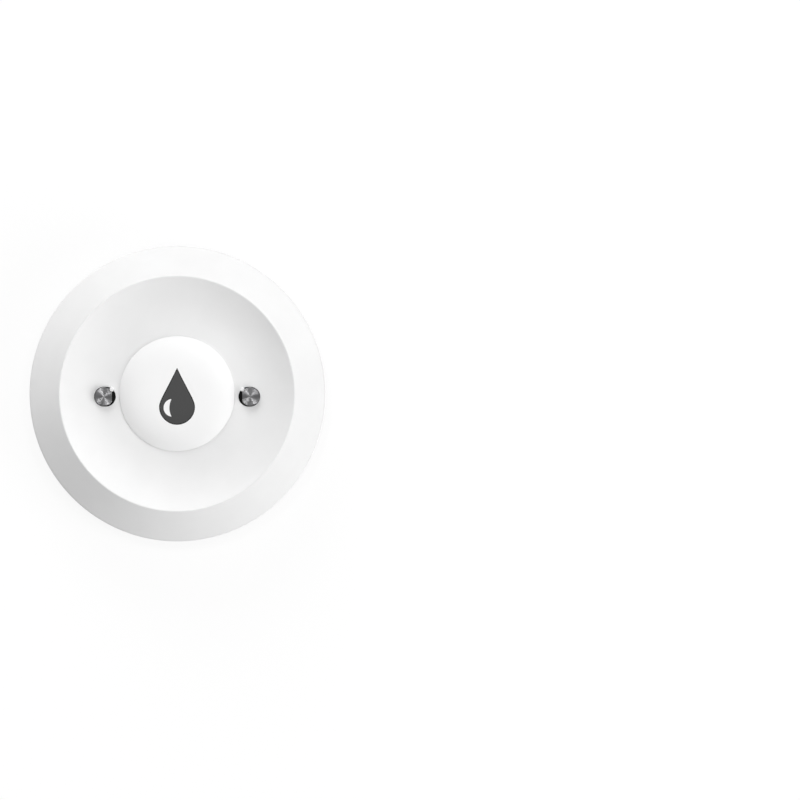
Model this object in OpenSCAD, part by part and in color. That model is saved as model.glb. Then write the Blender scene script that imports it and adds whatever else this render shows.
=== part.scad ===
// Round water leak sensor that lies on the floor. Its dished top catches drips on two steel probes
// round a domed push button, and its base carries two flood probes, four feet and a battery hatch
// that a coin turns. Millimetres, +Z up, origin on the floor under the middle.

/* [Housing] */
// Outside diameter of the housing and the base
body_d = 60; // [56:0.5:70]
// Diameter of the dish at its rim
rim_d = 47.5; // [45:0.5:51]
// Width of the flat crest of the rim
rim_w = 0.2; // [0.2:0.1:1]
// Height of the sloping outer cone
cone_h = 6; // [4:0.1:7]
// Rounding where the cone meets the side wall
shoulder_r = 1.2; // [0.4:0.1:2]
// Thickness of the moulded walls
wall_t = 1.8; // [1.5:0.1:2.2]
// Depth of the dish below its rim
dish_depth = 2.8; // [2.2:0.1:3.6]
// Diameter of the level floor of the dish
land_d = 29; // [26:0.5:32]
// Free height between the circuit board and the dish
inner_gap = 3.6; // [3.4:0.1:5]

/* [Base] */
// Thickness of the base plate
base_t = 2.2; // [1.9:0.1:3]
// Chamfer round the lower edge of the base
base_chamfer = 1; // [0.4:0.1:1.4]
// Height of the base's inner rim above the plate
spigot_h = 3; // [2.6:0.1:3.2]
// Thickness of that inner rim
spigot_t = 1.9; // [1.6:0.1:2.4]
// Section diameter of the main sealing ring
main_seal_d = 1.4; // [1:0.1:1.5]
// How far the feet stand proud of the base
foot_h = 1; // [0.8:0.1:2]
// Diameter of a foot
foot_d = 6.4; // [5:0.1:7]
// Depth of the pocket that a foot is glued into
foot_recess = 1; // [0.6:0.1:1.2]

/* [Button] */
// Diameter of the domed button
button_d = 23.4; // [21:0.1:24.2]
// Height that the dome rises above its edge
dome_rise = 1.75; // [1:0.05:2.2]
// Height of the button's upright edge
dome_edge = 0.25; // [0.2:0.05:0.6]
// Stroke of the button and of the switch below it
button_travel = 0.25; // [0.2:0.05:0.4]
// Diameter of the button's stem
stem_d = 16; // [14:0.1:17]
// Length of the guide collar below the dish
collar_h = 1.4; // [1:0.1:1.6]
// Section diameter of the ring that seals the stem
stem_seal_d = 1; // [0.8:0.1:1.2]

/* [Probes] */
// Distance between the two drip probes in the dish
drip_spacing = 29.7; // [29:0.1:33]
// How far in front of the middle the drip probes stand
drip_offset_y = 0.6; // [0:0.1:1.2]
// Distance of a flood probe from the edge of the base
flood_inset_l = 9.5; // [8:0.1:10]
// Diameter of a probe's head
probe_head_d = 3.8; // [3.2:0.1:4]
// Height of a drip probe's head
drip_head_h = 0.9; // [0.6:0.1:1.2]
// Depth of the flat on a drip probe's head, on the side towards the button
drip_flat_h = 0.28; // [0.1:0.02:0.4]
// Diameter of a probe's shank
probe_shank_d = 2.4; // [2:0.1:2.6]
// Gap between a flood probe's head and the floor
flood_tip_gap = 0.3; // [0.2:0.05:0.5]
// How far a drip seal reaches past the probe's head, towards the button
seal_reach_l = 0.25; // [0.1:0.05:0.6]
// Thickness of the nut on a probe
probe_nut_h = 1.6; // [1.2:0.1:1.8]
// Width of that nut across its flats
probe_nut_af = 4; // [3.6:0.1:4.4]
// Height of the spring contact that meets a drip probe
drip_contact_h = 1.2; // [0.8:0.1:1.4]

/* [Battery] */
// Diameter of the coin cell
cell_d = 20; // [16:0.1:24.5]
// Thickness of the coin cell
cell_t = 3.2; // [2:0.1:5]
// Thickness of the hatch's floor
hatch_floor_t = 1.6; // [1.3:0.1:2]
// Thickness of the hatch's flange
hatch_flange_t = 1.2; // [1:0.05:1.5]
// Section diameter of the hatch's sealing ring
hatch_seal_d = 0.8; // [0.6:0.05:0.9]
// Width of the coin slot
coin_slot_w = 2.2; // [1.6:0.1:3]
// Depth of the coin slot
coin_slot_h = 0.9; // [0.5:0.1:1]
// Angle that the hatch turns through to open
hatch_turn = 50; // [46:1:58]

/* [Electronics] */
// Thickness of the circuit board
board_t = 1; // [0.8:0.1:1.6]
// Height of the spring contact between the cell and the board
cell_contact_h = 0.7; // [0.5:0.05:1.2]
// Distance of the board's posts from the middle
post_radius = 19; // [18.5:0.1:19.5]
// Width of the push switch
switch_w = 6; // [5:0.1:6.5]
// Height of the push switch's body
switch_h = 1.5; // [1.4:0.1:2]
// How far the switch's plunger stands out of its body
plunger_h = 0.8; // [0.6:0.05:1]

/* [Hidden] */
$fn = 96;
SIDES = [["left", -1], ["right", 1]];
CORNER_ANGLES = [["back_right", 45], ["back_left", 135], ["front_left", 225], ["front_right", 315]];
POST_ANGLES = [90, 210, 330];
LUG_ANGLES = [30, 150, 270];
slip = 0.05;      // running clearance on a radius
touch = 0.02;     // clearance of a seated round piece
fit = 0.1;        // clearance of a pushed-in piece
cut = 1;          // overshoot of a cut

// Heights, from the floor up
base_z = foot_h;
plate_z = base_z + base_t;
cell_z = base_z + hatch_floor_t + fit;
cell_top = cell_z + cell_t;
board_z = cell_top + cell_contact_h;
board_top = board_z + board_t;
under_z = board_top + inner_gap;
land_z = under_z + wall_t;
body_h = land_z + dish_depth;

// Housing outline
body_r = body_d / 2;
inner_r = body_r - wall_t;
rim_r = rim_d / 2;
cone_r = rim_r + rim_w;
cone_a = atan(cone_h / (body_r - cone_r));
shoulder_z = body_h - cone_h;
seam_chamfer = 0.3;
land_r = land_d / 2;
dish_r = (pow(rim_r - land_r, 2) + pow(dish_depth, 2)) / (2 * dish_depth);

// Base outline and the screws under the feet
spigot_r = inner_r - fit;
spigot_in_r = spigot_r - spigot_t;
main_seal_z = plate_z + spigot_h / 2;
foot_r = foot_d / 2;
foot_edge_r = 0.4;
foot_fit = 0.1;
cup_wall = 1.1;
cup_r = foot_r + foot_fit + cup_wall;
cup_sink_l = 0.3;
screw_radius = spigot_in_r - cup_r + cup_sink_l;
screw_head_r = 2;
screw_head_h = 1.4;
screw_shank_r = 1.1;
screw_length = 6;
screw_seat_t = 1.4;
head_z = base_z + foot_recess;
seat_z = head_z + screw_head_h;
cup_top = seat_z + screw_seat_t;
boss_r = 2.6;
boss_gap = 0.4;

// Battery hatch, from the cell outwards
cell_gap = 0.4;
cell_edge_r = 0.5;
cell_cap_gap = 1.4;
cell_cap_h = 0.3;
hatch_in_r = cell_d / 2 + cell_gap;
hatch_ring_t = 1.4;
hatch_r = hatch_in_r + hatch_ring_t;
lug_l = 1.6;
lug_r = hatch_r + lug_l;
lug_t = 0.9;
lug_z = plate_z + slip;
hatch_top = lug_z + lug_t;
lug_angle = 30;
notch_play = 6;
notch_angle = lug_angle + notch_play;
notch_gap = 0.2;
notch_r = lug_r + notch_gap;
groove_wall = 0.5;
hatch_seal_r = notch_r + groove_wall + hatch_seal_d / 2;
flange_r = hatch_seal_r + hatch_seal_d / 2 + groove_wall;
flange_z = base_z + hatch_flange_t;
coin_r = 11.6;

// Board, its posts and its screws
board_gap = 1.7;
board_r = spigot_in_r - board_gap;
post_r = 2.1;
post_screw_r = 0.8;
post_screw_length = 3.6;
post_head_r = 1.7;
post_head_h = 1.1;

// Button, stem and switch
button_r = button_d / 2;
dome_power = 5;
pressed_gap = 0.05;
button_gap = button_travel + pressed_gap;
recess_gap = 0.1;
recess_r = button_r + recess_gap;
recess_z = land_z - button_gap;
head_under = land_z;
stem_r = stem_d / 2;
stem_t = 2;
stem_in_r = stem_r - stem_t;
bore_r = stem_r + slip;
collar_t = 1.4;
collar_z = under_z - collar_h;
clip_t = 0.6;
clip_lip = 0.9;
clip_groove = 0.5;
clip_eye_r = 0.9;
clip_eye_hole_r = 0.4;
clip_z = collar_z - slip - clip_t;
stem_tail_l = 0.5;
stem_z = clip_z - stem_tail_l;
stem_seal_z = (under_z + recess_z) / 2;
stem_seal_r = bore_r - touch - stem_seal_d / 2;
peg_r = 0.6;
peg_radius = (stem_r + button_r) / 2;
peg_depth = 0.6;
switch_top = board_top + switch_h;
plunger_r = 1.7;
plunger_top = switch_top + plunger_h;
plunger_root = 0.8;
pusher_lip = 0.6;
switch_leg_l = 1.6;
switch_leg_w = 0.8;
switch_leg_t = 0.3;

// Probes and their contacts
probe_r = probe_head_d / 2;
probe_chamfer = 0.2;
flood_spacing = body_d - 2 * flood_inset_l;
shank_r = probe_shank_d / 2;
seal_r = probe_r + fit;
seal_t = 0.9;
seal_recess = seal_t + touch;
nib_r = 0.42;
nib_out_l = 0.2;
nib_angle = 43;
probe_boss_t = 0.4;
boss_margin = 0.9;
probe_boss_r = probe_nut_af / 2 + boss_margin;
drip_head_z = land_z - touch;
drip_nut_z = under_z - probe_boss_t - probe_nut_h;
drip_end = board_top + drip_contact_h;
flood_sink_h = 0.2;
flood_head_top = base_z + flood_sink_h;
flood_seal_top = flood_head_top + seal_t;
flood_nut_z = plate_z;
flood_stub_l = 0.3;
flood_end = flood_nut_z + probe_nut_h + flood_stub_l;
strip_t = 0.2;
strip_w = 2.4;

// Chips on the board
module_w = 16;
module_l = 10;
module_t = 0.8;
module_edge = 0.8;
module_y = module_l / 2 + module_edge - sqrt(pow(board_r, 2) - pow(module_w / 2, 2));
module_can_w = 10.9;
module_can_l = 8.8;
module_can_h = 1.6;
module_can_x = 0.6;
chip_y = 13;
sense_chip_size = [4.9, 3.9, 1.4];
sense_chip_x = 7;
chip_size = [1.6, 0.8, 0.6];
chip_x = -9.5;
chip_step = [2.5, 3];
led_size = [3.2, 2.8, 1.1];
led_lens_r = 1.1;
led_lens_h = 0.5;
led_window_r = 1.6;
led_window_t = 0.8;

// Points along an arc
function arc(centre, r, from, to, steps = 8) =
    [for (i = [0:steps]) let (a = from + (to - from) * i / steps) centre + r * [cos(a), sin(a)]];

// Copies of a child at a distance from the middle, at each angle
module ring_of(angles, radius) {
    for (a = angles) rotate([0, 0, a]) translate([radius, 0, 0]) children();
}

module tube(r_out, r_in, z_low, z_high) {
    rotate_extrude() translate([r_in, z_low]) square([r_out - r_in, z_high - z_low]);
}

module sealing_ring(radius, section_d, z) {
    rotate_extrude() translate([radius, z]) circle(d = section_d, $fn = 32);
}

// A slice of pie of height h, centred on angle 0
module wedge(r, angle, h) {
    rotate([0, 0, -angle / 2]) rotate_extrude(angle = angle) square([r, h]);
}

// Top housing: a thin dished shell on a round wall, with its bosses inside
module outer_section() {
    turn = 90 - cone_a;
    corner = [body_r - shoulder_r, shoulder_z - shoulder_r * tan(turn / 2)];
    polygon(concat(
        [[0, plate_z], [body_r - seam_chamfer, plate_z], [body_r, plate_z + seam_chamfer]],
        arc(corner, shoulder_r, 0, turn),
        [[cone_r, body_h], [0, body_h]]
    ));
}

// The dish, or with a wall thickness added, the underside of its wall
module dish_section(grow = 0) {
    translate([0, land_z - grow]) square([land_r, dish_depth + grow + cut]);
    intersection() {
        translate([land_r, land_z + dish_r]) circle(r = dish_r + grow);
        translate([land_r, land_z - grow]) square([rim_r - land_r + grow, dish_depth + grow + cut]);
    }
}

module cavity_section() {
    drop = wall_t / cos(cone_a);
    inner_shoulder = body_h - (inner_r - cone_r) * tan(cone_a) - drop;
    difference() {
        polygon([
            [0, plate_z - cut], [inner_r, plate_z - cut],
            [inner_r, inner_shoulder], [cone_r, body_h - drop], [0, body_h - drop]
        ]);
        dish_section(wall_t);
    }
}

module solid_form() {
    rotate_extrude() difference() {
        outer_section();
        dish_section();
    }
}

// The rib-like nib that keys a drip probe against turning
module key_nib(grow = 0) {
    rotate([0, 0, 180 - nib_angle]) translate([probe_r + nib_out_l, 0, 0])
        cylinder(r = nib_r + grow, h = land_z + drip_head_h - probe_chamfer);
}

// Outline of a drip seal, longer on the side towards the button
module seal_outline(r) {
    circle(r = r);
    translate([-seal_reach_l, 0]) circle(r = r);
    translate([-seal_reach_l, -r]) square([seal_reach_l, 2 * r]);
}

module top_housing() {
    color("white") difference() {
        union() {
            difference() {
                rotate_extrude() difference() {
                    outer_section();
                    dish_section();
                    cavity_section();
                }
                for (s = SIDES) drip_place(s[1]) translate([0, 0, land_z - seal_recess])
                    linear_extrude(seal_recess + cut) seal_outline(seal_r + touch);
            }
            tube(bore_r + collar_t, bore_r, collar_z, under_z + touch);
            intersection() {
                union() {
                    ring_of([for (c = CORNER_ANGLES) c[1]], screw_radius)
                        translate([0, 0, cup_top]) cylinder(r = boss_r, h = body_h);
                    ring_of(POST_ANGLES, post_radius)
                        translate([0, 0, board_top]) cylinder(r = post_r, h = body_h);
                    for (s = SIDES) drip_place(s[1]) translate([0, 0, under_z - probe_boss_t])
                        cylinder(r = probe_boss_r, h = probe_boss_t + wall_t - seal_recess);
                }
                solid_form();
            }
            for (s = SIDES) drip_place(s[1]) intersection() {
                key_nib();
                translate([0, 0, land_z - seal_recess - touch]) cylinder(r = 2 * probe_r, h = body_h);
            }
        }
        translate([0, 0, under_z - collar_h - cut]) cylinder(r = bore_r, h = wall_t + collar_h + 2 * cut);
        for (s = SIDES) drip_place(s[1]) cylinder(r = shank_r + slip, h = body_h);
        ring_of([for (c = CORNER_ANGLES) c[1]], screw_radius)
            translate([0, 0, cup_top - cut]) cylinder(r = screw_shank_r + touch, h = screw_length + cut);
        ring_of(POST_ANGLES, post_radius)
            translate([0, 0, board_top - cut])
                cylinder(r = post_screw_r + touch, h = post_screw_length + cut);
        ring_of([90, 270], peg_radius)
            translate([0, 0, recess_z - peg_depth - button_travel - fit])
                cylinder(r = peg_r + fit, h = body_h);
        translate([0, 0, recess_z]) cylinder(r = recess_r, h = body_h);
        translate([0, chip_y, under_z - cut])
            cylinder(r = led_window_r, h = cut + wall_t - led_window_t);
    }
}

// Bottom cover: the base plate with its inner rim, screw cups, hatch opening and probe seats
module bottom_cover() {
    color("white") difference() {
        union() {
            rotate_extrude() polygon([
                [0, base_z], [body_r - base_chamfer, base_z], [body_r, base_z + base_chamfer],
                [body_r, plate_z], [0, plate_z]
            ]);
            tube(spigot_r, spigot_in_r, plate_z - touch, plate_z + spigot_h);
            ring_of([for (c = CORNER_ANGLES) c[1]], screw_radius)
                translate([0, 0, plate_z - touch]) cylinder(r = cup_r, h = cup_top - plate_z + touch);
            for (a = LUG_ANGLES) rotate([0, 0, a]) hatch_stops();
        }
        tube(body_r, inner_r - main_seal_d - 2 * touch,
            main_seal_z - main_seal_d / 2 - touch, main_seal_z + main_seal_d / 2 + touch);
        translate([0, 0, base_z - cut]) {
            cylinder(r = flange_r + fit, h = cut + hatch_flange_t + slip);
            cylinder(r = hatch_r + slip, h = cut + hatch_top);
            for (a = LUG_ANGLES) rotate([0, 0, a - hatch_turn])
                wedge(notch_r, notch_angle, base_t + 2 * cut);
            ring_of([for (c = CORNER_ANGLES) c[1]], screw_radius) {
                cylinder(r = foot_r + foot_fit, h = cut + foot_recess);
                cylinder(r = screw_head_r + fit, h = cut + seat_z - base_z);
                cylinder(r = screw_shank_r + fit, h = cut + cup_top);
            }
            for (s = SIDES) flood_place(s[1]) {
                cylinder(r = seal_r + touch, h = cut + flood_seal_top + touch - base_z);
                cylinder(r = shank_r + slip, h = base_t + 2 * cut);
            }
        }
    }
}

// The two blocks that stop a lug, locked and unlocked
module hatch_stops() {
    stop_angle = 4;
    stop_gap = 1.5;
    locked_stop = (lug_angle + stop_angle) / 2 + stop_gap;
    open_stop = hatch_turn + (notch_angle + stop_angle) / 2 + stop_gap;
    for (a = [locked_stop, -open_stop])
        rotate([0, 0, a]) translate([0, 0, plate_z - touch]) wedge(lug_r, stop_angle, lug_t);
}

module main_seal() {
    color("dimgray") sealing_ring(inner_r - touch - main_seal_d / 2, main_seal_d, main_seal_z);
}

// Screw along +Z with its cross-slotted head below z = 0
module pan_screw(head_r, head_h, shank_r, length) {
    cross = [1.1 * head_r, 0.24 * head_r];
    cylinder(r = shank_r, h = length);
    translate([0, 0, -head_h]) difference() {
        rotate_extrude() polygon(concat(
            [[0, head_h], [head_r, head_h]],
            arc([head_r - head_h / 2, head_h / 2], head_h / 2, 0, -90, 4),
            [[0, 0]]
        ));
        for (a = [0, 90]) rotate([0, 0, a]) translate([0, 0, head_h / 2 - cut])
            linear_extrude(2 * cut, center = true) square(cross, center = true);
    }
}

module housing_screws() {
    color("silver") ring_of([for (c = CORNER_ANGLES) c[1]], screw_radius)
        translate([0, 0, seat_z]) pan_screw(screw_head_r, screw_head_h, screw_shank_r, screw_length);
}

module foot(angle) {
    color("lightgray") ring_of([angle], screw_radius) rotate_extrude() polygon(concat(
        [[0, 0]],
        arc([foot_r - foot_edge_r, foot_edge_r], foot_edge_r, -90, 0, 4),
        [[foot_r, head_z], [0, head_z]]
    ));
}

// Button: a domed head in a shallow recess, on a stem with a sealing ring and a clip under the collar
module button_cap() {
    pusher_r = plunger_r + pusher_lip;
    rib_w = 1;
    rib_h = 1.2;
    dome = [for (i = [0:24]) let (r = button_r * i / 24)
        [r, head_under + dome_edge + dome_rise * (1 - pow(r / button_r, dome_power))]];
    color("white") {
        difference() {
            union() {
                rotate_extrude() polygon(concat(dome, [[button_r, head_under], [0, head_under]]));
                translate([0, 0, stem_z]) cylinder(r = stem_r, h = head_under - stem_z + touch);
                ring_of([90, 270], peg_radius) translate([0, 0, recess_z - peg_depth])
                    cylinder(r = peg_r, h = peg_depth + button_gap + touch);
            }
            translate([0, 0, stem_z - cut]) cylinder(r = stem_in_r, h = head_under - stem_z + cut);
            tube(stem_r + cut, stem_seal_r - stem_seal_d / 2 - touch,
                stem_seal_z - stem_seal_d / 2 - touch, stem_seal_z + stem_seal_d / 2 + touch);
            tube(stem_r + cut, stem_r - clip_groove, clip_z - touch, clip_z + clip_t + touch);
        }
        translate([0, 0, plunger_top]) cylinder(r = pusher_r, h = head_under - plunger_top + touch);
        for (a = [0, 90]) rotate([0, 0, a]) translate([0, 0, head_under - rib_h])
            linear_extrude(rib_h + touch) square([2 * (stem_in_r + touch), rib_w], center = true);
    }
}

module button_seal() {
    color("dimgray") sealing_ring(stem_seal_r, stem_seal_d, stem_seal_z);
}

// Split retaining clip with two eyes at its gap
module button_clip() {
    clip_in_r = stem_r - clip_groove + touch;
    clip_out_r = stem_r + clip_lip;
    gap_angle = 24;
    color("silver") translate([0, 0, clip_z]) difference() {
        union() {
            tube(clip_out_r, clip_in_r, 0, clip_t);
            ring_of([270 - gap_angle, 270 + gap_angle], clip_out_r) cylinder(r = clip_eye_r, h = clip_t);
        }
        translate([0, 0, -cut]) cylinder(r = clip_in_r, h = clip_t + 2 * cut);
        rotate([0, 0, 270]) translate([0, 0, -cut])
            wedge(clip_out_r + 2 * cut, gap_angle, clip_t + 2 * cut);
        ring_of([270 - gap_angle, 270 + gap_angle], clip_out_r) translate([0, 0, -cut])
            cylinder(r = clip_eye_hole_r, h = clip_t + 2 * cut);
    }
}

// Probes: turned pins with a chamfered head, a seal, a nut and a spring contact each
module drip_place(side) {
    translate([0, -drip_offset_y, 0]) rotate([0, 0, side > 0 ? 0 : 180]) translate([drip_spacing / 2, 0, 0])
        mirror([0, side > 0 ? 0 : 1, 0]) children();
}

module flood_place(side) {
    translate([side * flood_spacing / 2, 0, 0]) children();
}

// A pin along +Z with its head on top, the underside of the head at z = 0
module probe_pin(shank_length, head_h) {
    rotate_extrude() polygon([
        [0, -shank_length], [shank_r, -shank_length], [shank_r, 0], [probe_r, 0],
        [probe_r, head_h - probe_chamfer], [probe_r - probe_chamfer, head_h], [0, head_h]
    ]);
}

module drip_probe(side) {
    color("silver") drip_place(side) difference() {
        translate([0, 0, drip_head_z]) probe_pin(drip_head_z - drip_end, drip_head_h);
        translate([drip_flat_h - 3 * probe_r, -2 * probe_r, drip_head_z - cut])
            cube([2 * probe_r, 4 * probe_r, drip_head_h + 2 * cut]);
        key_nib(slip);
    }
}

module drip_seal(side) {
    color("black") drip_place(side) difference() {
        translate([0, 0, drip_head_z - seal_t]) linear_extrude(seal_t) difference() {
            seal_outline(seal_r);
            circle(r = shank_r + touch);
        }
        key_nib(touch);
    }
}

module flood_probe(side) {
    color("silver") flood_place(side) translate([0, 0, flood_head_top]) mirror([0, 0, 1])
        probe_pin(flood_end - flood_head_top, flood_head_top - flood_tip_gap);
}

module flood_seal(side) {
    color("black") flood_place(side) tube(seal_r, shank_r + touch, flood_head_top, flood_seal_top);
}

module probe_nut(z) {
    translate([0, 0, z]) difference() {
        cylinder(r = probe_nut_af / 2 / cos(30), h = probe_nut_h, $fn = 6);
        translate([0, 0, -cut]) cylinder(r = shank_r + touch, h = probe_nut_h + 2 * cut);
    }
}

module drip_probe_nuts() {
    color("silver") for (s = SIDES) drip_place(s[1]) probe_nut(drip_nut_z);
}

module flood_probe_nuts() {
    color("silver") for (s = SIDES) flood_place(s[1]) probe_nut(flood_nut_z);
}

// Bent strip from a solder pad to a raised tongue, rising along +Z and reaching along +Y
module spring_contact(rise) {
    pad_l = 2;
    slope_l = 2;
    tongue_l = 2.6;
    translate([strip_w / 2, -tongue_l / 2, 0]) rotate([90, 0, -90]) linear_extrude(strip_w) polygon([
        [-tongue_l, rise], [0, rise], [slope_l, strip_t], [slope_l + pad_l, strip_t],
        [slope_l + pad_l, 0], [slope_l, 0], [0, rise - strip_t], [-tongue_l, rise - strip_t]
    ]);
}

module drip_contact(side) {
    color("gold") drip_place(side) translate([0, 0, board_top]) rotate([0, 0, 180])
        spring_contact(drip_contact_h);
}

module flood_contact(side) {
    color("gold") flood_place(side) translate([0, 0, board_z]) mirror([0, 0, 1])
        spring_contact(board_z - flood_end);
}

// Battery hatch: a flanged cup with three bayonet lugs, a face seal and a coin slot
module battery_hatch() {
    groove = hatch_seal_d - slip + touch;
    color("white") difference() {
        union() {
            translate([0, 0, base_z]) cylinder(r = flange_r, h = hatch_flange_t);
            translate([0, 0, base_z]) cylinder(r = hatch_r, h = hatch_top - base_z);
            for (a = LUG_ANGLES) rotate([0, 0, a]) translate([0, 0, lug_z]) wedge(lug_r, lug_angle, lug_t);
        }
        translate([0, 0, base_z + hatch_floor_t]) cylinder(r = hatch_in_r, h = hatch_top);
        tube(hatch_seal_r + hatch_seal_d / 2 + touch, hatch_seal_r - hatch_seal_d / 2 - touch,
            flange_z - groove, flange_z + cut);
        translate([0, coin_slot_w / 2, base_z + coin_slot_h - coin_r]) rotate([90, 0, 0])
            cylinder(r = coin_r, h = coin_slot_w);
    }
}

module hatch_seal() {
    seat = flange_z + slip - touch / 2;
    color("dimgray") sealing_ring(hatch_seal_r, hatch_seal_d, seat - hatch_seal_d / 2);
}

// Coin cell: a can with a rounded lower edge and a smaller cap on top
module coin_cell() {
    cap_r = cell_d / 2 - cell_cap_gap;
    cap_z = cell_top - cell_cap_h;
    color("silver") rotate_extrude() polygon(concat(
        [[0, cell_z]],
        arc([cell_d / 2 - cell_edge_r, cell_z + cell_edge_r], cell_edge_r, -90, 0, 4),
        [[cell_d / 2, cap_z], [cap_r, cap_z], [cap_r, cell_top], [0, cell_top]]
    ));
}

// Ring under the board round the upper half of the cell, open where the clip reaches in
module battery_holder() {
    holder_gap = 0.15;
    holder_in = cell_d / 2 + holder_gap;
    holder_t = 1.25;
    holder_lift = 0.3;
    holder_z = hatch_top + holder_lift;
    window_h = 0.8;
    color("black") difference() {
        tube(holder_in + holder_t, holder_in, holder_z, board_z);
        rotate([0, 0, 270]) translate([0, 0, holder_z - cut]) wedge(cell_d, 40, board_z);
        rotate([0, 0, 90]) translate([0, 0, holder_z - cut]) wedge(cell_d, 60, cut + window_h);
    }
}

// Strip that presses on the side of the can, with its foot soldered under the board
module positive_clip() {
    clip_w = 4;
    clip_foot = 3;
    clip_gap = 0.05;
    clip_lift = 0.4;
    reach = cell_d / 2 + clip_gap;
    low = hatch_top + clip_lift;
    color("gold") translate([-clip_w / 2, 0, 0]) rotate([90, 0, 90]) linear_extrude(clip_w) polygon([
        [-reach - clip_foot, board_z], [-reach, board_z], [-reach, low], [-reach - strip_t, low],
        [-reach - strip_t, board_z - strip_t], [-reach - clip_foot, board_z - strip_t]
    ]);
}

// Bowed leaf between the top of the cell and the board
module negative_contact() {
    leaf_w = 4;
    pad = 2;
    bow = 2.2;
    flat = 1.5;
    half = [[flat, cell_top], [flat + bow, board_z - strip_t], [flat + bow + pad, board_z - strip_t],
        [flat + bow + pad, board_z], [flat + bow, board_z], [flat, cell_top + strip_t]];
    mirrored = [for (i = [1:len(half)]) let (p = half[len(half) - i]) [-p[0], p[1]]];
    color("gold") translate([leaf_w / 2, 0, 0]) rotate([90, 0, -90]) linear_extrude(leaf_w)
        polygon(concat(half, mirrored));
}

// Circuit board, notched round the housing's bosses
module main_board() {
    color("darkgreen") translate([0, 0, board_z]) difference() {
        cylinder(r = board_r, h = board_t);
        translate([0, 0, -cut]) {
            ring_of([for (c = CORNER_ANGLES) c[1]], screw_radius)
                cylinder(r = boss_r + boss_gap, h = board_t + 2 * cut);
            ring_of(POST_ANGLES, post_radius) cylinder(r = post_screw_r + fit, h = board_t + 2 * cut);
        }
    }
}

module board_screws() {
    color("silver") ring_of(POST_ANGLES, post_radius)
        translate([0, 0, board_z]) pan_screw(post_head_r, post_head_h, post_screw_r, post_screw_length);
}

module radio_module() {
    color("navy") translate([-module_w / 2, module_y - module_l / 2, board_top])
        cube([module_w, module_l, module_t]);
}

module shield_can() {
    color("silver")
        translate([module_can_x - module_w / 2, module_y - module_can_l / 2, board_top + module_t])
            cube([module_can_w, module_can_l, module_can_h]);
}

module sense_chip() {
    color("black") translate([sense_chip_x, chip_y - sense_chip_size[1] / 2, board_top])
        cube(sense_chip_size);
}

// Small chip resistors and capacitors in two rows
module chip_parts() {
    color("tan") for (i = [0:2], j = [-1, 1])
        translate([chip_x + i * chip_step[0], chip_y + (j * chip_step[1] - chip_size[1]) / 2, board_top])
            cube(chip_size);
}

module status_led() {
    color("ivory") translate([0, chip_y, board_top]) {
        translate([-led_size[0] / 2, -led_size[1] / 2, 0]) cube(led_size);
        translate([0, 0, led_size[2]]) cylinder(r = led_lens_r, h = led_lens_h);
    }
}

// Push switch: a body with four legs and a plunger that sinks into it
module tact_switch() {
    leg = [switch_leg_l, switch_leg_w, switch_leg_t];
    leg_x = switch_w / 2 - touch;
    leg_y = switch_w / 3 - switch_leg_w / 2;
    color("black") difference() {
        union() {
            translate([-switch_w / 2, -switch_w / 2, board_top]) cube([switch_w, switch_w, switch_h]);
            for (x = [0, 1], y = [0, 1]) mirror([x, 0, 0]) mirror([0, y, 0])
                translate([leg_x, leg_y, board_top]) cube(leg);
        }
        translate([0, 0, switch_top - plunger_root - button_travel - fit])
            cylinder(r = plunger_r + slip, h = switch_h + cut);
    }
}

module switch_plunger() {
    color("white") translate([0, 0, switch_top - plunger_root])
        cylinder(r = plunger_r, h = plunger_root + plunger_h);
}

top_housing();
bottom_cover();
main_seal();
housing_screws();
for (c = CORNER_ANGLES) foot(c[1]);
button_cap();
button_seal();
button_clip();
for (s = SIDES) drip_probe(s[1]);
for (s = SIDES) drip_seal(s[1]);
for (s = SIDES) drip_contact(s[1]);
drip_probe_nuts();
for (s = SIDES) flood_probe(s[1]);
for (s = SIDES) flood_seal(s[1]);
for (s = SIDES) flood_contact(s[1]);
flood_probe_nuts();
battery_hatch();
hatch_seal();
coin_cell();
battery_holder();
positive_clip();
negative_contact();
main_board();
board_screws();
radio_module();
shield_can();
sense_chip();
chip_parts();
status_led();
tact_switch();
switch_plunger();
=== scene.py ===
"""Dresses a round water leak sensor that lies on the floor.

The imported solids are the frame. The outer pieces are turned and cut again here with rounded edges, a
droplet is printed on the button's dome, and every piece gets the finish of its real material. Sizes are in
millimetres and angles in degrees. Blender's metres come in only where a mesh, a texture or a lamp is made.
"""

import logging
import math
from contextlib import contextmanager
from dataclasses import dataclass, field
from enum import Enum
from functools import cache
from typing import Any, Iterable, Iterator, Sequence

import bmesh
import bpy
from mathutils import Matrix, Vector


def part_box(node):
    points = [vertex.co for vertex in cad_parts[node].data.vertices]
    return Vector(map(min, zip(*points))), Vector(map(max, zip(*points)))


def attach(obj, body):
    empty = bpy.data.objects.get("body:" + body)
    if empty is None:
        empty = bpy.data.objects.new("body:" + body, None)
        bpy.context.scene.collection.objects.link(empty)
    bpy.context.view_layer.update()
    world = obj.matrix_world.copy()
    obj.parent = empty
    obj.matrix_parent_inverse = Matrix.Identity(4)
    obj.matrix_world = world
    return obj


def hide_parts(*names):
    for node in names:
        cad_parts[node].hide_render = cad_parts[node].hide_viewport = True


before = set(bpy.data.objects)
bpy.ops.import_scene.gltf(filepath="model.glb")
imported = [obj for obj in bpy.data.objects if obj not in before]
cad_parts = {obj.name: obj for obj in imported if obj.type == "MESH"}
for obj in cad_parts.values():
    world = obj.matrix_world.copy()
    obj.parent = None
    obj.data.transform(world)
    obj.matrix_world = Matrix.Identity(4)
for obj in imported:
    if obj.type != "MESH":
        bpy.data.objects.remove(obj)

LOG = logging.getLogger("leak_sensor")

# Metres in a millimetre
MM = 0.001
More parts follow.
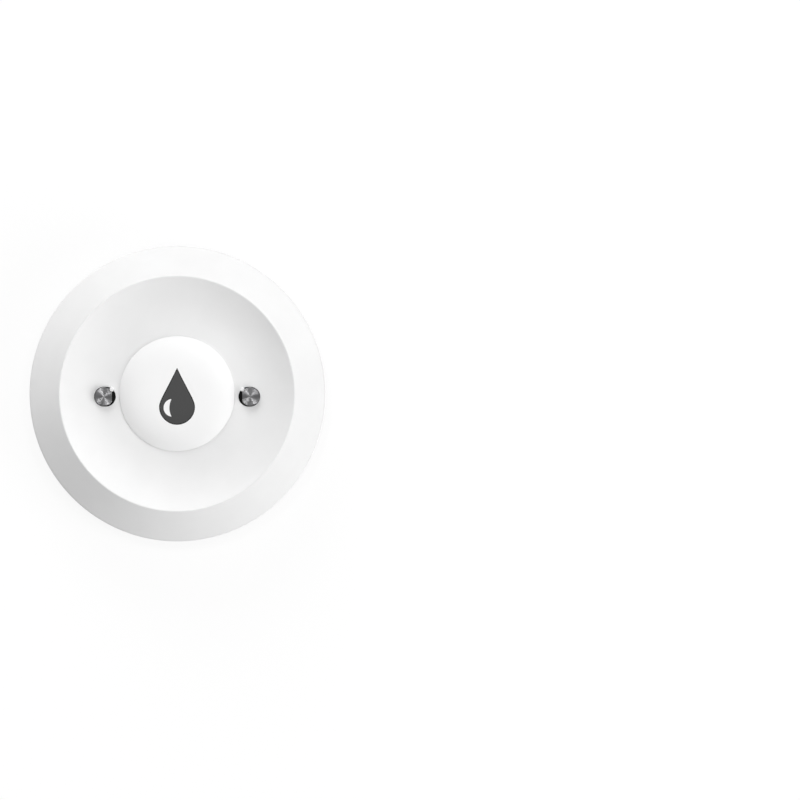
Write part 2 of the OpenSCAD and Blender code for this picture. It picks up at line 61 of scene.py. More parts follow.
# Steps in a full turn of a large and of a small round piece
SEGMENTS = 256
SMALL_SEGMENTS = 96
# Longest step of a rounding, and the angle between faces from which an edge is drawn sharp, in radians
ARC_STEP = math.radians(9)
SHARP_ANGLE = math.radians(20)
# Share of a side that the rounding at one of its ends may take up
ROUND_SHARE = 0.49
# Radius below which a turned point lies on the axis, and distance below which corners are welded
POLE = 1e-6
WELD = 0.0001
# Corners of a tool stay off the edges of a turned piece, where a cut would leave slivers
TOOL_TURN = 1.1
SECTOR_STEPS = 13
# How far a cutting tool stands clear of what it cuts
CLEAR = 1.0
# The four screws with the feet over them, and the pegs that stop the button turning
SCREW_PITCH = 22.1
CORNER_ANGLES = (45.0, 135.0, 225.0, 315.0)
PEG_ANGLES = (90.0, 270.0)
# The hatch's lugs, the turn that opens it, and the marks that show whether it is locked
LUG_ANGLES = (30.0, 150.0, 270.0)
HATCH_TURN = 50.0
MARK_ANGLE = 25.0
MARK_DEPTH = 0.3
# Index of each colour socket of Blender's mix node, which shares its name with other sockets
MIX_FIRST = 6
MIX_SECOND = 7
MIX_RESULT = 2

# A place, a section's corner with the radius of its rounding, and any other three numbers
Point = tuple[float, float]
Corner = tuple[float, float, float]
Triple = tuple[float, float, float]
Piece = bpy.types.Object
Tree = bpy.types.NodeTree
Socket = bpy.types.NodeSocket

ORIGIN: Point = (0.0, 0.0)


class Body(Enum):
    """The rigid bodies that pieces ride on."""

    HOUSING = "housing"
    BUTTON = "button"
    HATCH = "hatch"


class Side(Enum):
    """The two sides that a pair of probes stands on, with the sign of X there."""

    LEFT = -1
    RIGHT = 1

    @property
    def word(self) -> str:
        """The side's name as the nodes spell it."""
        return self.name.lower()


class Cut(Enum):
    """How a tool body meets the piece that it is used on."""

    REMOVE = "DIFFERENCE"
    ADD = "UNION"


@dataclass(frozen=True)
class Extent:
    """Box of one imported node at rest, in millimetres."""

    low: Vector
    high: Vector

    @classmethod
    def of(cls, node: str) -> "Extent":
        """Measure a node of the frame."""
        low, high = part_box(node)
        return cls(low / MM, high / MM)

    @property
    def centre(self) -> Vector:
        """Middle of the box."""
        return (self.low + self.high) / 2

    @property
    def radius(self) -> float:
        """Half of the box's depth along Y, which is a round node's radius."""
        return (self.high.y - self.low.y) / 2


# Nodes and finishes


def linear(colour: str) -> tuple[float, float, float, float]:
    """Turn an sRGB hex colour into the linear values that a shader takes.

    Args:
        colour: Six hex digits after a hash sign.

    Returns:
        Linear red, green and blue, with an alpha of one.
    """
    parts = [int(colour[i : i + 2], 16) / 255 for i in (1, 3, 5)]
    red, green, blue = (c / 12.92 if c <= 0.04045 else ((c + 0.055) / 1.055) ** 2.4 for c in parts)
    return red, green, blue, 1.0


def add_node(tree: Tree, kind: str, inputs: dict[Any, Any] | None = None, **settings: Any) -> bpy.types.Node:
    """Add a node to a tree with its settings, values and links.

    Args:
        tree: Shader or geometry tree that takes the node.
        kind: Blender's type name of the node.
        inputs: Value or source socket for each input, by name or index.
        **settings: Properties of the node itself.

    Returns:
        The new node.
    """
    node = tree.nodes.new(kind)
    for key, value in settings.items():
        setattr(node, key, value)
    for key, value in (inputs or {}).items():
        if isinstance(value, Socket):
            tree.links.new(value, node.inputs[key])
        else:
            node.inputs[key].default_value = value
    return node


def calculate(tree: Tree, operation: str, *values: Any, **settings: Any) -> Socket:
    """Add a calculation with numbers to a tree, and return its result."""
    inputs = dict(enumerate(values))
    return add_node(tree, "ShaderNodeMath", inputs, operation=operation, **settings).outputs["Value"]


def measure(tree: Tree, vector: Socket) -> Socket:
    """Add the length of a vector to a tree, and return it."""
    return add_node(tree, "ShaderNodeVectorMath", {0: vector}, operation="LENGTH").outputs["Value"]


@dataclass(frozen=True)
class Shading:
    """A material's tree, its principled shader and the object coordinates, in metres."""

    tree: Tree
    shader: bpy.types.Node
    place: Socket

    def put(self, values: dict[str, Any]) -> None:
        """Set values on the shader's own sockets."""
        for name, value in values.items():
            self.shader.inputs[name].default_value = value

    def feed(self, name: str, source: Socket) -> None:
        """Link a source to one of the shader's sockets."""
        self.tree.links.new(source, self.shader.inputs[name])

    def noise(self, size: float, detail: float, place: Socket | None = None) -> Socket:
        """Add a soft random pattern.

        Args:
            size: Size of its patches, in millimetres.
            detail: Number of finer layers in it.
            place: Its coordinates, if they aren't the object's.

        Returns:
            The pattern, from zero to one.
        """
        where = self.place if place is None else place
        inputs = {"Vector": where, "Scale": 1 / (size * MM), "Detail": detail}
        return add_node(self.tree, "ShaderNodeTexNoise", inputs).outputs["Fac"]

    def mapped(self, **settings: Triple) -> Socket:
        """Object coordinates through a mapping node with the Location and Scale that are given."""
        return add_node(self.tree, "ShaderNodeMapping", {"Vector": self.place, **settings}).outputs["Vector"]

    def tint(self, share: Socket, first: str, second: str) -> None:
        """Blend the base colour from a first to a second one.

        Args:
            share: Share of the second colour.
            first: First colour, in hex.
            second: Second colour, in hex.
        """
        inputs = {"Factor": share, MIX_FIRST: linear(first), MIX_SECOND: linear(second)}
        mix = add_node(self.tree, "ShaderNodeMix", inputs, data_type="RGBA")
        self.feed("Base Color", mix.outputs[MIX_RESULT])

    def vary_gloss(self, share: Socket, middle: float, spread: float) -> None:
        """Let the roughness vary by a spread on both sides of a middle value."""
        inputs = {"Value": share, "To Min": middle - spread, "To Max": middle + spread}
        self.feed("Roughness", add_node(self.tree, "ShaderNodeMapRange", inputs).outputs["Result"])

    def emboss(self, height: Socket, strength: float, depth: float) -> None:
        """Raise a pattern off the surface, with its depth in millimetres."""
        inputs = {"Height": height, "Strength": strength, "Distance": depth * MM}
        self.feed("Normal", add_node(self.tree, "ShaderNodeBump", inputs).outputs["Normal"])


@dataclass(frozen=True)
class Finish:
    """A material's name, its main colour and how rough it is."""

    name: str
    colour: str
    roughness: float

    @cache
    def material(self) -> bpy.types.Material:
        """Make the material on the first call, and keep it for later ones.

        Returns:
            A node material with one principled shader.
        """
        material = bpy.data.materials.new(self.name)
        material.use_nodes = True
        tree = material.node_tree
        place = add_node(tree, "ShaderNodeTexCoord").outputs["Object"]
        look = Shading(tree, tree.nodes["Principled BSDF"], place)
        look.put({"Base Color": linear(self.colour), "Roughness": self.roughness})
        self.shade(look)
        return material

    def shade(self, look: Shading) -> None:
        """Add what this finish has beyond a colour and a roughness."""
        raise NotImplementedError


# A real mould's grain, tool marks and hairlines are 0.02 to 0.05 mm wide. They are drawn coarser here, as
# grain, pitch and hairline give, to hold at the size of a picture.


@dataclass(frozen=True)
class MouldedPlastic(Finish):
    """Plastic from a spark-eroded mould: a fine even grain that breaks up the gloss, and a flow mottle."""

    shadow_colour: str = "#EBEBEB"
    grain: float = 0.22
    grain_strength: float = 0.35
    grain_depth: float = 0.004
    gloss_spread: float = 0.05
    mottle: float = 6.0
    ior: float = 1.53

    def shade(self, look: Shading) -> None:
        """Add the mould's grain and the flow mottle.

        Args:
            look: The material's shading.
        """
        grain = look.noise(self.grain, detail=2.0)
        look.tint(look.noise(self.mottle, detail=3.0), self.colour, self.shadow_colour)
        look.vary_gloss(grain, self.roughness, self.gloss_spread)
        look.emboss(grain, self.grain_strength, self.grain_depth)
        look.put({"IOR": self.ior})


@dataclass(frozen=True)
class TurnedSteel(Finish):
    """Stainless steel faced on a lathe: rings of tool marks, which draw a lamp out into a bright spoke."""

    colour: str = "#7E7E7F"
    roughness: float = 0.29
    centre: Point = ORIGIN
    pitch: float = 0.16
    mark_strength: float = 0.25
    mark_depth: float = 0.006
    chatter: float = 0.5
    gloss_spread: float = 0.04
    anisotropy: float = 0.95
    quarter_turn: float = 0.25

    def shade(self, look: Shading) -> None:
        """Add the rings round the pin's axis and the spread of the gloss across them.

        Args:
            look: The material's shading.
        """
        shift = (-self.centre[0] * MM, -self.centre[1] * MM, 0.0)
        radius = measure(look.tree, look.mapped(Location=shift, Scale=(1.0, 1.0, 0.0)))
        turns = calculate(look.tree, "MULTIPLY", radius, math.tau / (self.pitch * MM))
        look.emboss(calculate(look.tree, "SINE", turns), self.mark_strength, self.mark_depth)
        look.vary_gloss(look.noise(self.chatter, detail=3.0), self.roughness, self.gloss_spread)
        spin = add_node(look.tree, "ShaderNodeTangent", direction_type="UV_MAP", uv_map="turned")
        look.feed("Tangent", spin.outputs["Tangent"])
        look.put({"Metallic": 1.0, "Anisotropic": self.anisotropy, "Anisotropic Rotation": self.quarter_turn})


@dataclass(frozen=True)
class PlatedMetal(Finish):
    """Stamped or rolled metal under a thin plating: soft gloss, hazy patches and hairline rolling marks."""

    haze: float = 1.2
    gloss_spread: float = 0.08
    hairline: float = 0.08
    hairline_stretch: float = 0.05
    hairline_strength: float = 0.2
    hairline_depth: float = 0.002

    def shade(self, look: Shading) -> None:
        """Add the haze and the rolling marks.

        Args:
            look: The material's shading.
        """
        drawn = look.mapped(Scale=(1.0, self.hairline_stretch, 1.0))
        lines = look.noise(self.hairline, detail=2.0, place=drawn)
        look.emboss(lines, self.hairline_strength, self.hairline_depth)
        look.vary_gloss(look.noise(self.haze, detail=4.0), self.roughness, self.gloss_spread)
        look.put({"Metallic": 1.0})


@dataclass(frozen=True)
class MattMould(Finish):
    """Moulded silicone, rubber or fired ceramic: matt, a little dusty, with a soft fine grain."""

    grain: float = 0.12
    grain_strength: float = 0.4
    grain_depth: float = 0.006
    dust_colour: str = "#3A3A3B"
    dust: float = 0.12
    dust_patch: float = 0.9
    gloss: float = 0.5
    ior: float = 1.41

    def shade(self, look: Shading) -> None:
        """Add the dust and the grain.

        Args:
            look: The material's shading.
        """
        share = calculate(look.tree, "MULTIPLY", look.noise(self.dust_patch, detail=5.0), self.dust)
        look.tint(share, self.colour, self.dust_colour)
        look.emboss(look.noise(self.grain, detail=2.0), self.grain_strength, self.grain_depth)
        look.put({"IOR": self.ior, "Specular IOR Level": self.gloss})


@dataclass(frozen=True)
class PrintInk(Finish):
    """Pad-printed ink: a thin even film, a touch glossier than the plastic, with a faint stipple."""

    stipple_colour: str = "#4A4A4A"
    stipple: float = 0.35
    stipple_strength: float = 0.15
    stipple_depth: float = 0.002
    gloss: float = 0.3

    def shade(self, look: Shading) -> None:
        """Add the stipple that the pad leaves.

        Args:
            look: The material's shading.
        """
        dots = look.noise(self.stipple, detail=3.0)
        look.tint(dots, self.colour, self.stipple_colour)
        look.emboss(dots, self.stipple_strength, self.stipple_depth)
        look.put({"Specular IOR Level": self.gloss})


@dataclass(frozen=True)
class SolderMask(Finish):
    """Glass laminate under solder mask: glossy lacquer that goes paler and rises over the copper tracks."""

    track_colour: str = "#2E7A4C"
    track: float = 0.35
    track_strength: float = 0.4
    track_depth: float = 0.03
    spacing: float = 2.4
    # Length of a straight track, in spacings
    run: float = 3.0
    row_offset: float = 0.37
    coat: float = 0.4

    def shade(self, look: Shading) -> None:
        """Add the copper tracks below the lacquer.

        Args:
            look: The material's shading.
        """
        plain = linear(self.colour)
        inputs = {
            "Vector": look.place, "Color1": plain, "Color2": plain, "Mortar": linear(self.track_colour),
            "Scale": 1 / MM, "Mortar Size": self.track / 2, "Brick Width": self.spacing * self.run,
            "Row Height": self.spacing,
        }
        tracks = add_node(look.tree, "ShaderNodeTexBrick", inputs, offset=self.row_offset)
        look.feed("Base Color", tracks.outputs["Color"])
        look.emboss(tracks.outputs["Fac"], self.track_strength, self.track_depth)
        look.put({"Coat Weight": self.coat})


@dataclass(frozen=True)
class ClearEpoxy(Finish):
    """Cast epoxy over a pale body: clear and glossy, with a slight cloud in it."""

    cloud_colour: str = "#D8D2B8"
    cloud: float = 0.8
    clear_share: float = 0.35
    ior: float = 1.52

    def shade(self, look: Shading) -> None:
        """Add the cloud and let some light through."""
        look.tint(look.noise(self.cloud, detail=2.0), self.colour, self.cloud_colour)
        look.put({"Transmission Weight": self.clear_share, "IOR": self.ior})


# White ABS looks soft and even on the housing, and a little glossier and paler on the button
HOUSING_ABS = MouldedPlastic("white_abs_housing", "#F2F2F2", 0.66)
BUTTON_ABS = MouldedPlastic("white_abs_button", "#F8F8F8", 0.58, shadow_colour="#F4F4F4")
# Glass-filled nylon looks dark and satin
BLACK_NYLON = MouldedPlastic("black_nylon", "#1B1B1C", 0.50, shadow_colour="#232324")
# Black silicone swallows nearly all light and is set darker still as painted shade beside the drip probes'
# heads, nitrile is a dusty black, and the feet are a dull pale grey
BLACK_SILICONE_AND_SHADE = MattMould("black_silicone_and_painted_shade", "#070707", 0.62, dust_colour="#1A1A1B", gloss=0.2)
SEAL_RUBBER = MattMould("nitrile_rubber", "#1C1C1E", 0.58)
FOOT_SILICONE = MattMould("grey_silicone", "#C9C9CA", 0.66, dust_colour="#B2B2B2", dust=0.4)
# Fired ceramic is a matt tan with paler, uneven patches
CHIP_CERAMIC = MattMould("fired_chip_ceramic", "#A98A68", 0.45, dust_colour="#C9AE8C", dust=0.6)
# Zinc is bluish and hazy, nickel warm and bright, tin plain and soft, and gilt bronze yellow
ZINC_STEEL = PlatedMetal("zinc_plated_steel", "#B9BBBF", 0.34)
NICKEL_STEEL = PlatedMetal("nickel_plated_steel", "#CFCDC8", 0.24)
TINNED_STEEL = PlatedMetal("tinned_sheet_steel", "#C4C5C6", 0.30)
GILT_BRONZE = PlatedMetal("gilt_spring_bronze", "#D9B468", 0.26)
# Boards are glossy, with paler tracks, which lie closer together on the radio module
GREEN_MASK = SolderMask("green_solder_mask", "#12512C", 0.28)
BLUE_MASK = SolderMask("blue_solder_mask", "#10234F", 0.28, track_colour="#2B4A8C", spacing=1.3)
# The light's epoxy is clear, glossy and a little yellow
LED_EPOXY = ClearEpoxy("cast_led_epoxy", "#F2EEDD", 0.12)
# Ink covers the plastic in an even dark grey, nearly black along the drop's edge
DROPLET_INK = PrintInk("grey_print_ink", "#434343", 0.46, stipple_colour="#3F3F3F")
EDGE_INK = PrintInk("dark_print_ink", "#1E1E1E", 0.46, stipple_colour="#222222")


# Outlines and meshes


def polar(radius: float, angle: float) -> Point:
    """Place at a radius and an angle."""
    return radius * math.cos(math.radians(angle)), radius * math.sin(math.radians(angle))


def around(radius: float, angles: Iterable[float]) -> list[Point]:
    """Places at a radius and several angles."""
    return [polar(radius, angle) for angle in angles]


def arc(centre: Point, radius: float, start: float, end: float, steps: int) -> list[Point]:
    """Points along an arc.

    Args:
        centre: Middle of the circle.
        radius: Its radius.
        start: First angle.
        end: Last angle.
        steps: Number of equal steps between them.

    Returns:
        One point more than there are steps.
    """
    angles = [math.radians(start + (end - start) * i / steps) for i in range(steps + 1)]
    return [(centre[0] + radius * math.cos(a), centre[1] + radius * math.sin(a)) for a in angles]


def polygon(centre: Point, radius: float, first: float, sides: int) -> list[Point]:
    """Corners of a regular polygon, from the angle of the first one."""
    return arc(centre, radius, first, first + 360, sides)[:-1]


def sector(inner: float, outer: float, middle: float, width: float) -> list[Point]:
    """Outline of a stretch of a ring.

    Args:
        inner: Inner radius.
        outer: Outer radius.
        middle: Angle of the stretch's middle.
        width: Angle that it covers.

    Returns:
        The outline's points.
    """
    start, end = middle - width / 2, middle + width / 2
    return arc(ORIGIN, outer, start, end, SECTOR_STEPS) + arc(ORIGIN, inner, end, start, SECTOR_STEPS)


def rounding(back: Point, corner: Corner, ahead: Point) -> list[Point]:
    """Round one corner.

    Args:
        back: The point before it.
        corner: The corner, with the radius of its rounding.
        ahead: The point after it.

    Returns:
        The rounding as short steps, or the corner itself where it has none.
    """
    x, y, radius = corner
    if radius <= 0:
        return [(x, y)]
    here = Vector((x, y))
    to_back, to_ahead = Vector(back) - here, Vector(ahead) - here
    half = to_back.angle(to_ahead) / 2
    longest = min(to_back.length * ROUND_SHARE, to_ahead.length * ROUND_SHARE)
    reach = min(radius / math.tan(half), longest)
    to_back.normalize()
    to_ahead.normalize()
    middle = here + (to_back + to_ahead).normalized() * reach / math.cos(half)
    first, last = here + to_back * reach - middle, here + to_ahead * reach - middle
    turn = math.pi - 2 * half
    steps = max(2, math.ceil(turn / ARC_STEP))
    shares = [k / steps for k in range(steps + 1)]
    return [tuple(middle + (math.sin((1 - s) * turn) * first + math.sin(s * turn) * last) / math.sin(turn))
            for s in shares]


def section(corners: Sequence[Corner], longest: float = math.inf) -> list[Point]:
    """Draw the section of a turned piece, with rounded corners.

    Long steps are split, so that the shading stays true beside a small rounding. A section that starts on
    the axis also ends there, and any other one is closed.

    Args:
        corners: Radius and height of each corner, with the radius of its rounding.
        longest: Longest step to leave.

    Returns:
        The section's points.
    """
    count = len(corners)
    points: list[Point] = []
    for i, corner in enumerate(corners):
        points += rounding(corners[i - 1][:2], corner, corners[(i + 1) % count][:2])
    closed = corners[0][0] > POLE
    ends = points[1:] + (points[:1] if closed else [])
    result: list[Point] = []
    for a, b in zip(points, ends):
        steps = max(1, math.ceil(math.dist(a, b) / longest))
        result += [(a[0] + (b[0] - a[0]) * k / steps, a[1] + (b[1] - a[1]) * k / steps) for k in range(steps)]
    return result if closed else [*result, points[-1]]


def new_piece(name: str, shape: bmesh.types.BMesh) -> Piece:
    """Turn a bmesh, which is freed, into an object at the origin with its faces pointing outwards.

    Args:
        name: Name of the object and of its mesh.
        shape: The bmesh.

    Returns:
        The new object, linked to the scene.
    """
    bmesh.ops.recalc_face_normals(shape, faces=shape.faces)
    mesh = bpy.data.meshes.new(name)
    shape.to_mesh(mesh)
    shape.free()
    piece = bpy.data.objects.new(name, mesh)
    bpy.context.scene.collection.objects.link(piece)
    return piece


def lathe(name: str, outline: Sequence[Point], segments: int = SEGMENTS, centre: Point = ORIGIN) -> Piece:
    """Turn an outline round an upright axis.

    Args:
        name: Name of the piece.
        outline: Radius and height of each point. It is closed, or it starts and ends on the axis.
        segments: Number of steps in a full turn.
        centre: Place of the axis.

    Returns:
        The turned piece, with a UV map called turned whose U runs round it.
    """
    shape = bmesh.new()
    layer = shape.loops.layers.uv.new("turned")
    angles = [math.tau * j / segments for j in range(segments)]
    directions = [(math.cos(a), math.sin(a)) for a in angles]
    rings = []
    for radius, height in outline:
        spokes = directions if radius > POLE else [ORIGIN]
        places = [(centre[0] + radius * c, centre[1] + radius * s) for c, s in spokes]
        rings.append([shape.verts.new((x * MM, y * MM, height * MM)) for x, y in places])
    count = len(outline)
    on_axis = len(rings[0]) == 1
    for i in range(count - 1 if on_axis else count):
        low, high = rings[i], rings[(i + 1) % count]
        for j in range(segments):
            k = j + 1
            corners = [(low, j, i), (low, k, i), (high, k, i + 1), (high, j, i + 1)]
            if len(low) == 1:
                corners = corners[1:]
            elif len(high) == 1:
                corners = corners[:3]
            face = shape.faces.new([ring[step % len(ring)] for ring, step, _ in corners])
            for loop, (_, step, row) in zip(face.loops, corners):
                loop[layer].uv = (step / segments, row / count)
    return new_piece(name, shape)


def prism(name: str, outline: Sequence[Point], start: float, end: float, upright: bool = True) -> Piece:
    """Stretch a flat outline into a prism.

    Args:
        name: Name of the piece.
        outline: The points, in order round the outline: X and Y if it is upright, or else X and Z.
        start: Height of the lower face, or Y of the front one.
        end: Height of the upper face, or Y of the back one.
        upright: Whether the prism stands along Z. If not, it lies along Y.

    Returns:
        The prism.
    """
    shape = bmesh.new()
    rings = []
    for level in (start, end):
        places = [(u, v, level) if upright else (u, level, v) for u, v in outline]
        rings.append([shape.verts.new((x * MM, y * MM, z * MM)) for x, y, z in places])
    count = len(outline)
    for i in range(count):
        k = (i + 1) % count
        shape.faces.new((rings[0][i], rings[0][k], rings[1][k], rings[1][i]))
    for ring in rings:
        shape.faces.new(ring)
    return new_piece(name, shape)


def round_bars(places: Iterable[Point], radius: float, bottom: float, top: float) -> list[Piece]:
    """Plain upright round bars to cut or add with, one at each place."""
    return [prism("bar", polygon(place, radius, TOOL_TURN, SMALL_SEGMENTS), bottom, top) for place in places]


def bake_modifier(piece: Piece) -> None:
    """Make a piece's evaluated mesh its own, and take its modifiers off.

    Args:
        piece: The piece.
    """
    graph = bpy.context.evaluated_depsgraph_get()
    mesh = bpy.data.meshes.new_from_object(piece.evaluated_get(graph))
    mesh.name = piece.name
    piece.modifiers.clear()
    piece.data = mesh


@contextmanager
def editing(piece: Piece) -> Iterator[bmesh.types.BMesh]:
    """Open a piece's mesh as a bmesh, and write it back at the end.

    Args:
        piece: The piece.

    Returns:
        The bmesh, for the length of a with block.
    """
    shape = bmesh.new()
    shape.from_mesh(piece.data)
    yield shape
    shape.to_mesh(piece.data)
    shape.free()


def work(piece: Piece, tools: Iterable[Piece], cut: Cut) -> None:
    """Cut a piece with tool bodies, or add them to it, and use them up.

    Args:
        piece: The piece that is worked on.
        tools: Closed bodies that don't touch each other.
        cut: Whether they are removed or added.
    """
    tool, *others = tools
    with editing(tool) as shape:
        for other in others:
            shape.from_mesh(other.data)
            bpy.data.objects.remove(other)
    modifier = piece.modifiers.new("work", "BOOLEAN")
    modifier.operation = cut.value
    modifier.solver = "EXACT"
    modifier.object = tool
    bake_modifier(piece)
    bpy.data.objects.remove(tool)
    with editing(piece) as shape:
        bmesh.ops.remove_doubles(shape, verts=shape.verts, dist=WELD * MM)


def dress(piece: Piece, finish: Finish) -> None:
    """Give a whole piece one finish."""
    piece.data.materials.clear()
    piece.data.materials.append(finish.material())


def place_piece(piece: Piece, body: Body, finish: Finish, nodes: Sequence[str] = ()) -> None:
    """Smooth a finished piece, dress it and tie it to the frame.

    Args:
        piece: The piece.
        body: The body that it rides on.
        finish: Its finish.
        nodes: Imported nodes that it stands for.
    """
    piece.data.shade_smooth()
    piece.data.set_sharp_from_angle(angle=SHARP_ANGLE)
    dress(piece, finish)
    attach(piece, body.value)
    if nodes:
        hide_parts(*nodes)
    LOG.info("%s: %d faces on %s", piece.name, len(piece.data.polygons), body.value)


# Geometry Nodes


def geometry_tree(name: str, sizes: Iterable[str]) -> Tree:
    """Start a geometry tree with a mesh in, a mesh out and named sizes.

    Args:
        name: Name of the tree.
        sizes: Name of each further input.

    Returns:
        The tree, with its group input and output nodes.
    """
    tree = bpy.data.node_groups.new(name, "GeometryNodeTree")
    for direction in ("INPUT", "OUTPUT"):
        tree.interface.new_socket("Geometry", in_out=direction, socket_type="NodeSocketGeometry")
    for label in sizes:
        tree.interface.new_socket(label, in_out="INPUT", socket_type="NodeSocketFloat")
    add_node(tree, "NodeGroupInput")
    add_node(tree, "NodeGroupOutput")
    return tree


def close_tree(tree: Tree, made: Socket) -> Tree:
    """End a geometry tree with real geometry, and return it.

    Args:
        tree: The tree.
        made: The geometry that it has made.

    Returns:
        The finished tree.
    """
    real = add_node(tree, "GeometryNodeRealizeInstances", {"Geometry": made})
    tree.links.new(real.outputs["Geometry"], tree.nodes["Group Output"].inputs["Geometry"])
    return tree


def run_tree(piece: Piece, tree: Tree, sizes: dict[str, float]) -> None:
    """Run a geometry tree on a piece and keep the mesh that it makes.

    Args:
        piece: The piece whose mesh goes in.
        tree: The tree.
        sizes: Value of each named input, in metres for a length.
    """
    modifier = piece.modifiers.new(tree.name, "NODES")
    modifier.node_group = tree
    for item in tree.interface.items_tree:
        if item.in_out == "INPUT" and item.name in sizes:
            modifier[item.identifier] = float(sizes[item.name])
    bake_modifier(piece)


@cache
def crown_tree() -> Tree:
    """Tree that lifts what lies above a level onto a dome, whose height falls with a power of the radius.

    Returns:
        A tree with the inputs Radius, Rise, Power and Level.
    """
    tree = geometry_tree("crown", ("Radius", "Rise", "Power", "Level"))
    sizes = tree.nodes["Group Input"].outputs
    place = add_node(tree, "GeometryNodeInputPosition").outputs["Position"]
    flat = add_node(tree, "ShaderNodeVectorMath", {0: place, 1: (1.0, 1.0, 0.0)}, operation="MULTIPLY")
    radius = measure(tree, flat.outputs["Vector"])
    share = calculate(tree, "DIVIDE", radius, sizes["Radius"], use_clamp=True)
    left = calculate(tree, "SUBTRACT", 1.0, calculate(tree, "POWER", share, sizes["Power"]))
    lift = calculate(tree, "MULTIPLY", left, sizes["Rise"])
    height = add_node(tree, "ShaderNodeSeparateXYZ", {0: place}).outputs["Z"]
    limits = {0: height, 1: sizes["Level"]}
    above = add_node(tree, "FunctionNodeCompare", limits, data_type="FLOAT", operation="GREATER_THAN")
    offset = add_node(tree, "ShaderNodeCombineXYZ", {"Z": lift}).outputs["Vector"]
    inputs = {"Geometry": sizes["Geometry"], "Selection": above.outputs["Result"], "Offset": offset}
    return close_tree(tree, add_node(tree, "GeometryNodeSetPosition", inputs).outputs["Geometry"])


def ring_tree() -> Tree:
    """Tree that repeats a piece round a pitch circle.

    Returns:
        A tree with the inputs Count, Pitch Radius and First Angle.
    """
    tree = geometry_tree("ring", ("Count", "Pitch Radius", "First Angle"))
    sizes = tree.nodes["Group Input"].outputs
    inputs = {"Vertices": sizes["Count"], "Radius": sizes["Pitch Radius"]}
    circle = add_node(tree, "GeometryNodeMeshCircle", inputs).outputs["Mesh"]
    turn = add_node(tree, "ShaderNodeCombineXYZ", {"Z": sizes["First Angle"]}).outputs["Vector"]
    turned = add_node(tree, "GeometryNodeTransform", {"Geometry": circle, "Rotation": turn})
    inputs = {"Points": turned.outputs["Geometry"], "Instance": sizes["Geometry"]}
    return close_tree(tree, add_node(tree, "GeometryNodeInstanceOnPoints", inputs).outputs["Instances"])


# Sub-assemblies


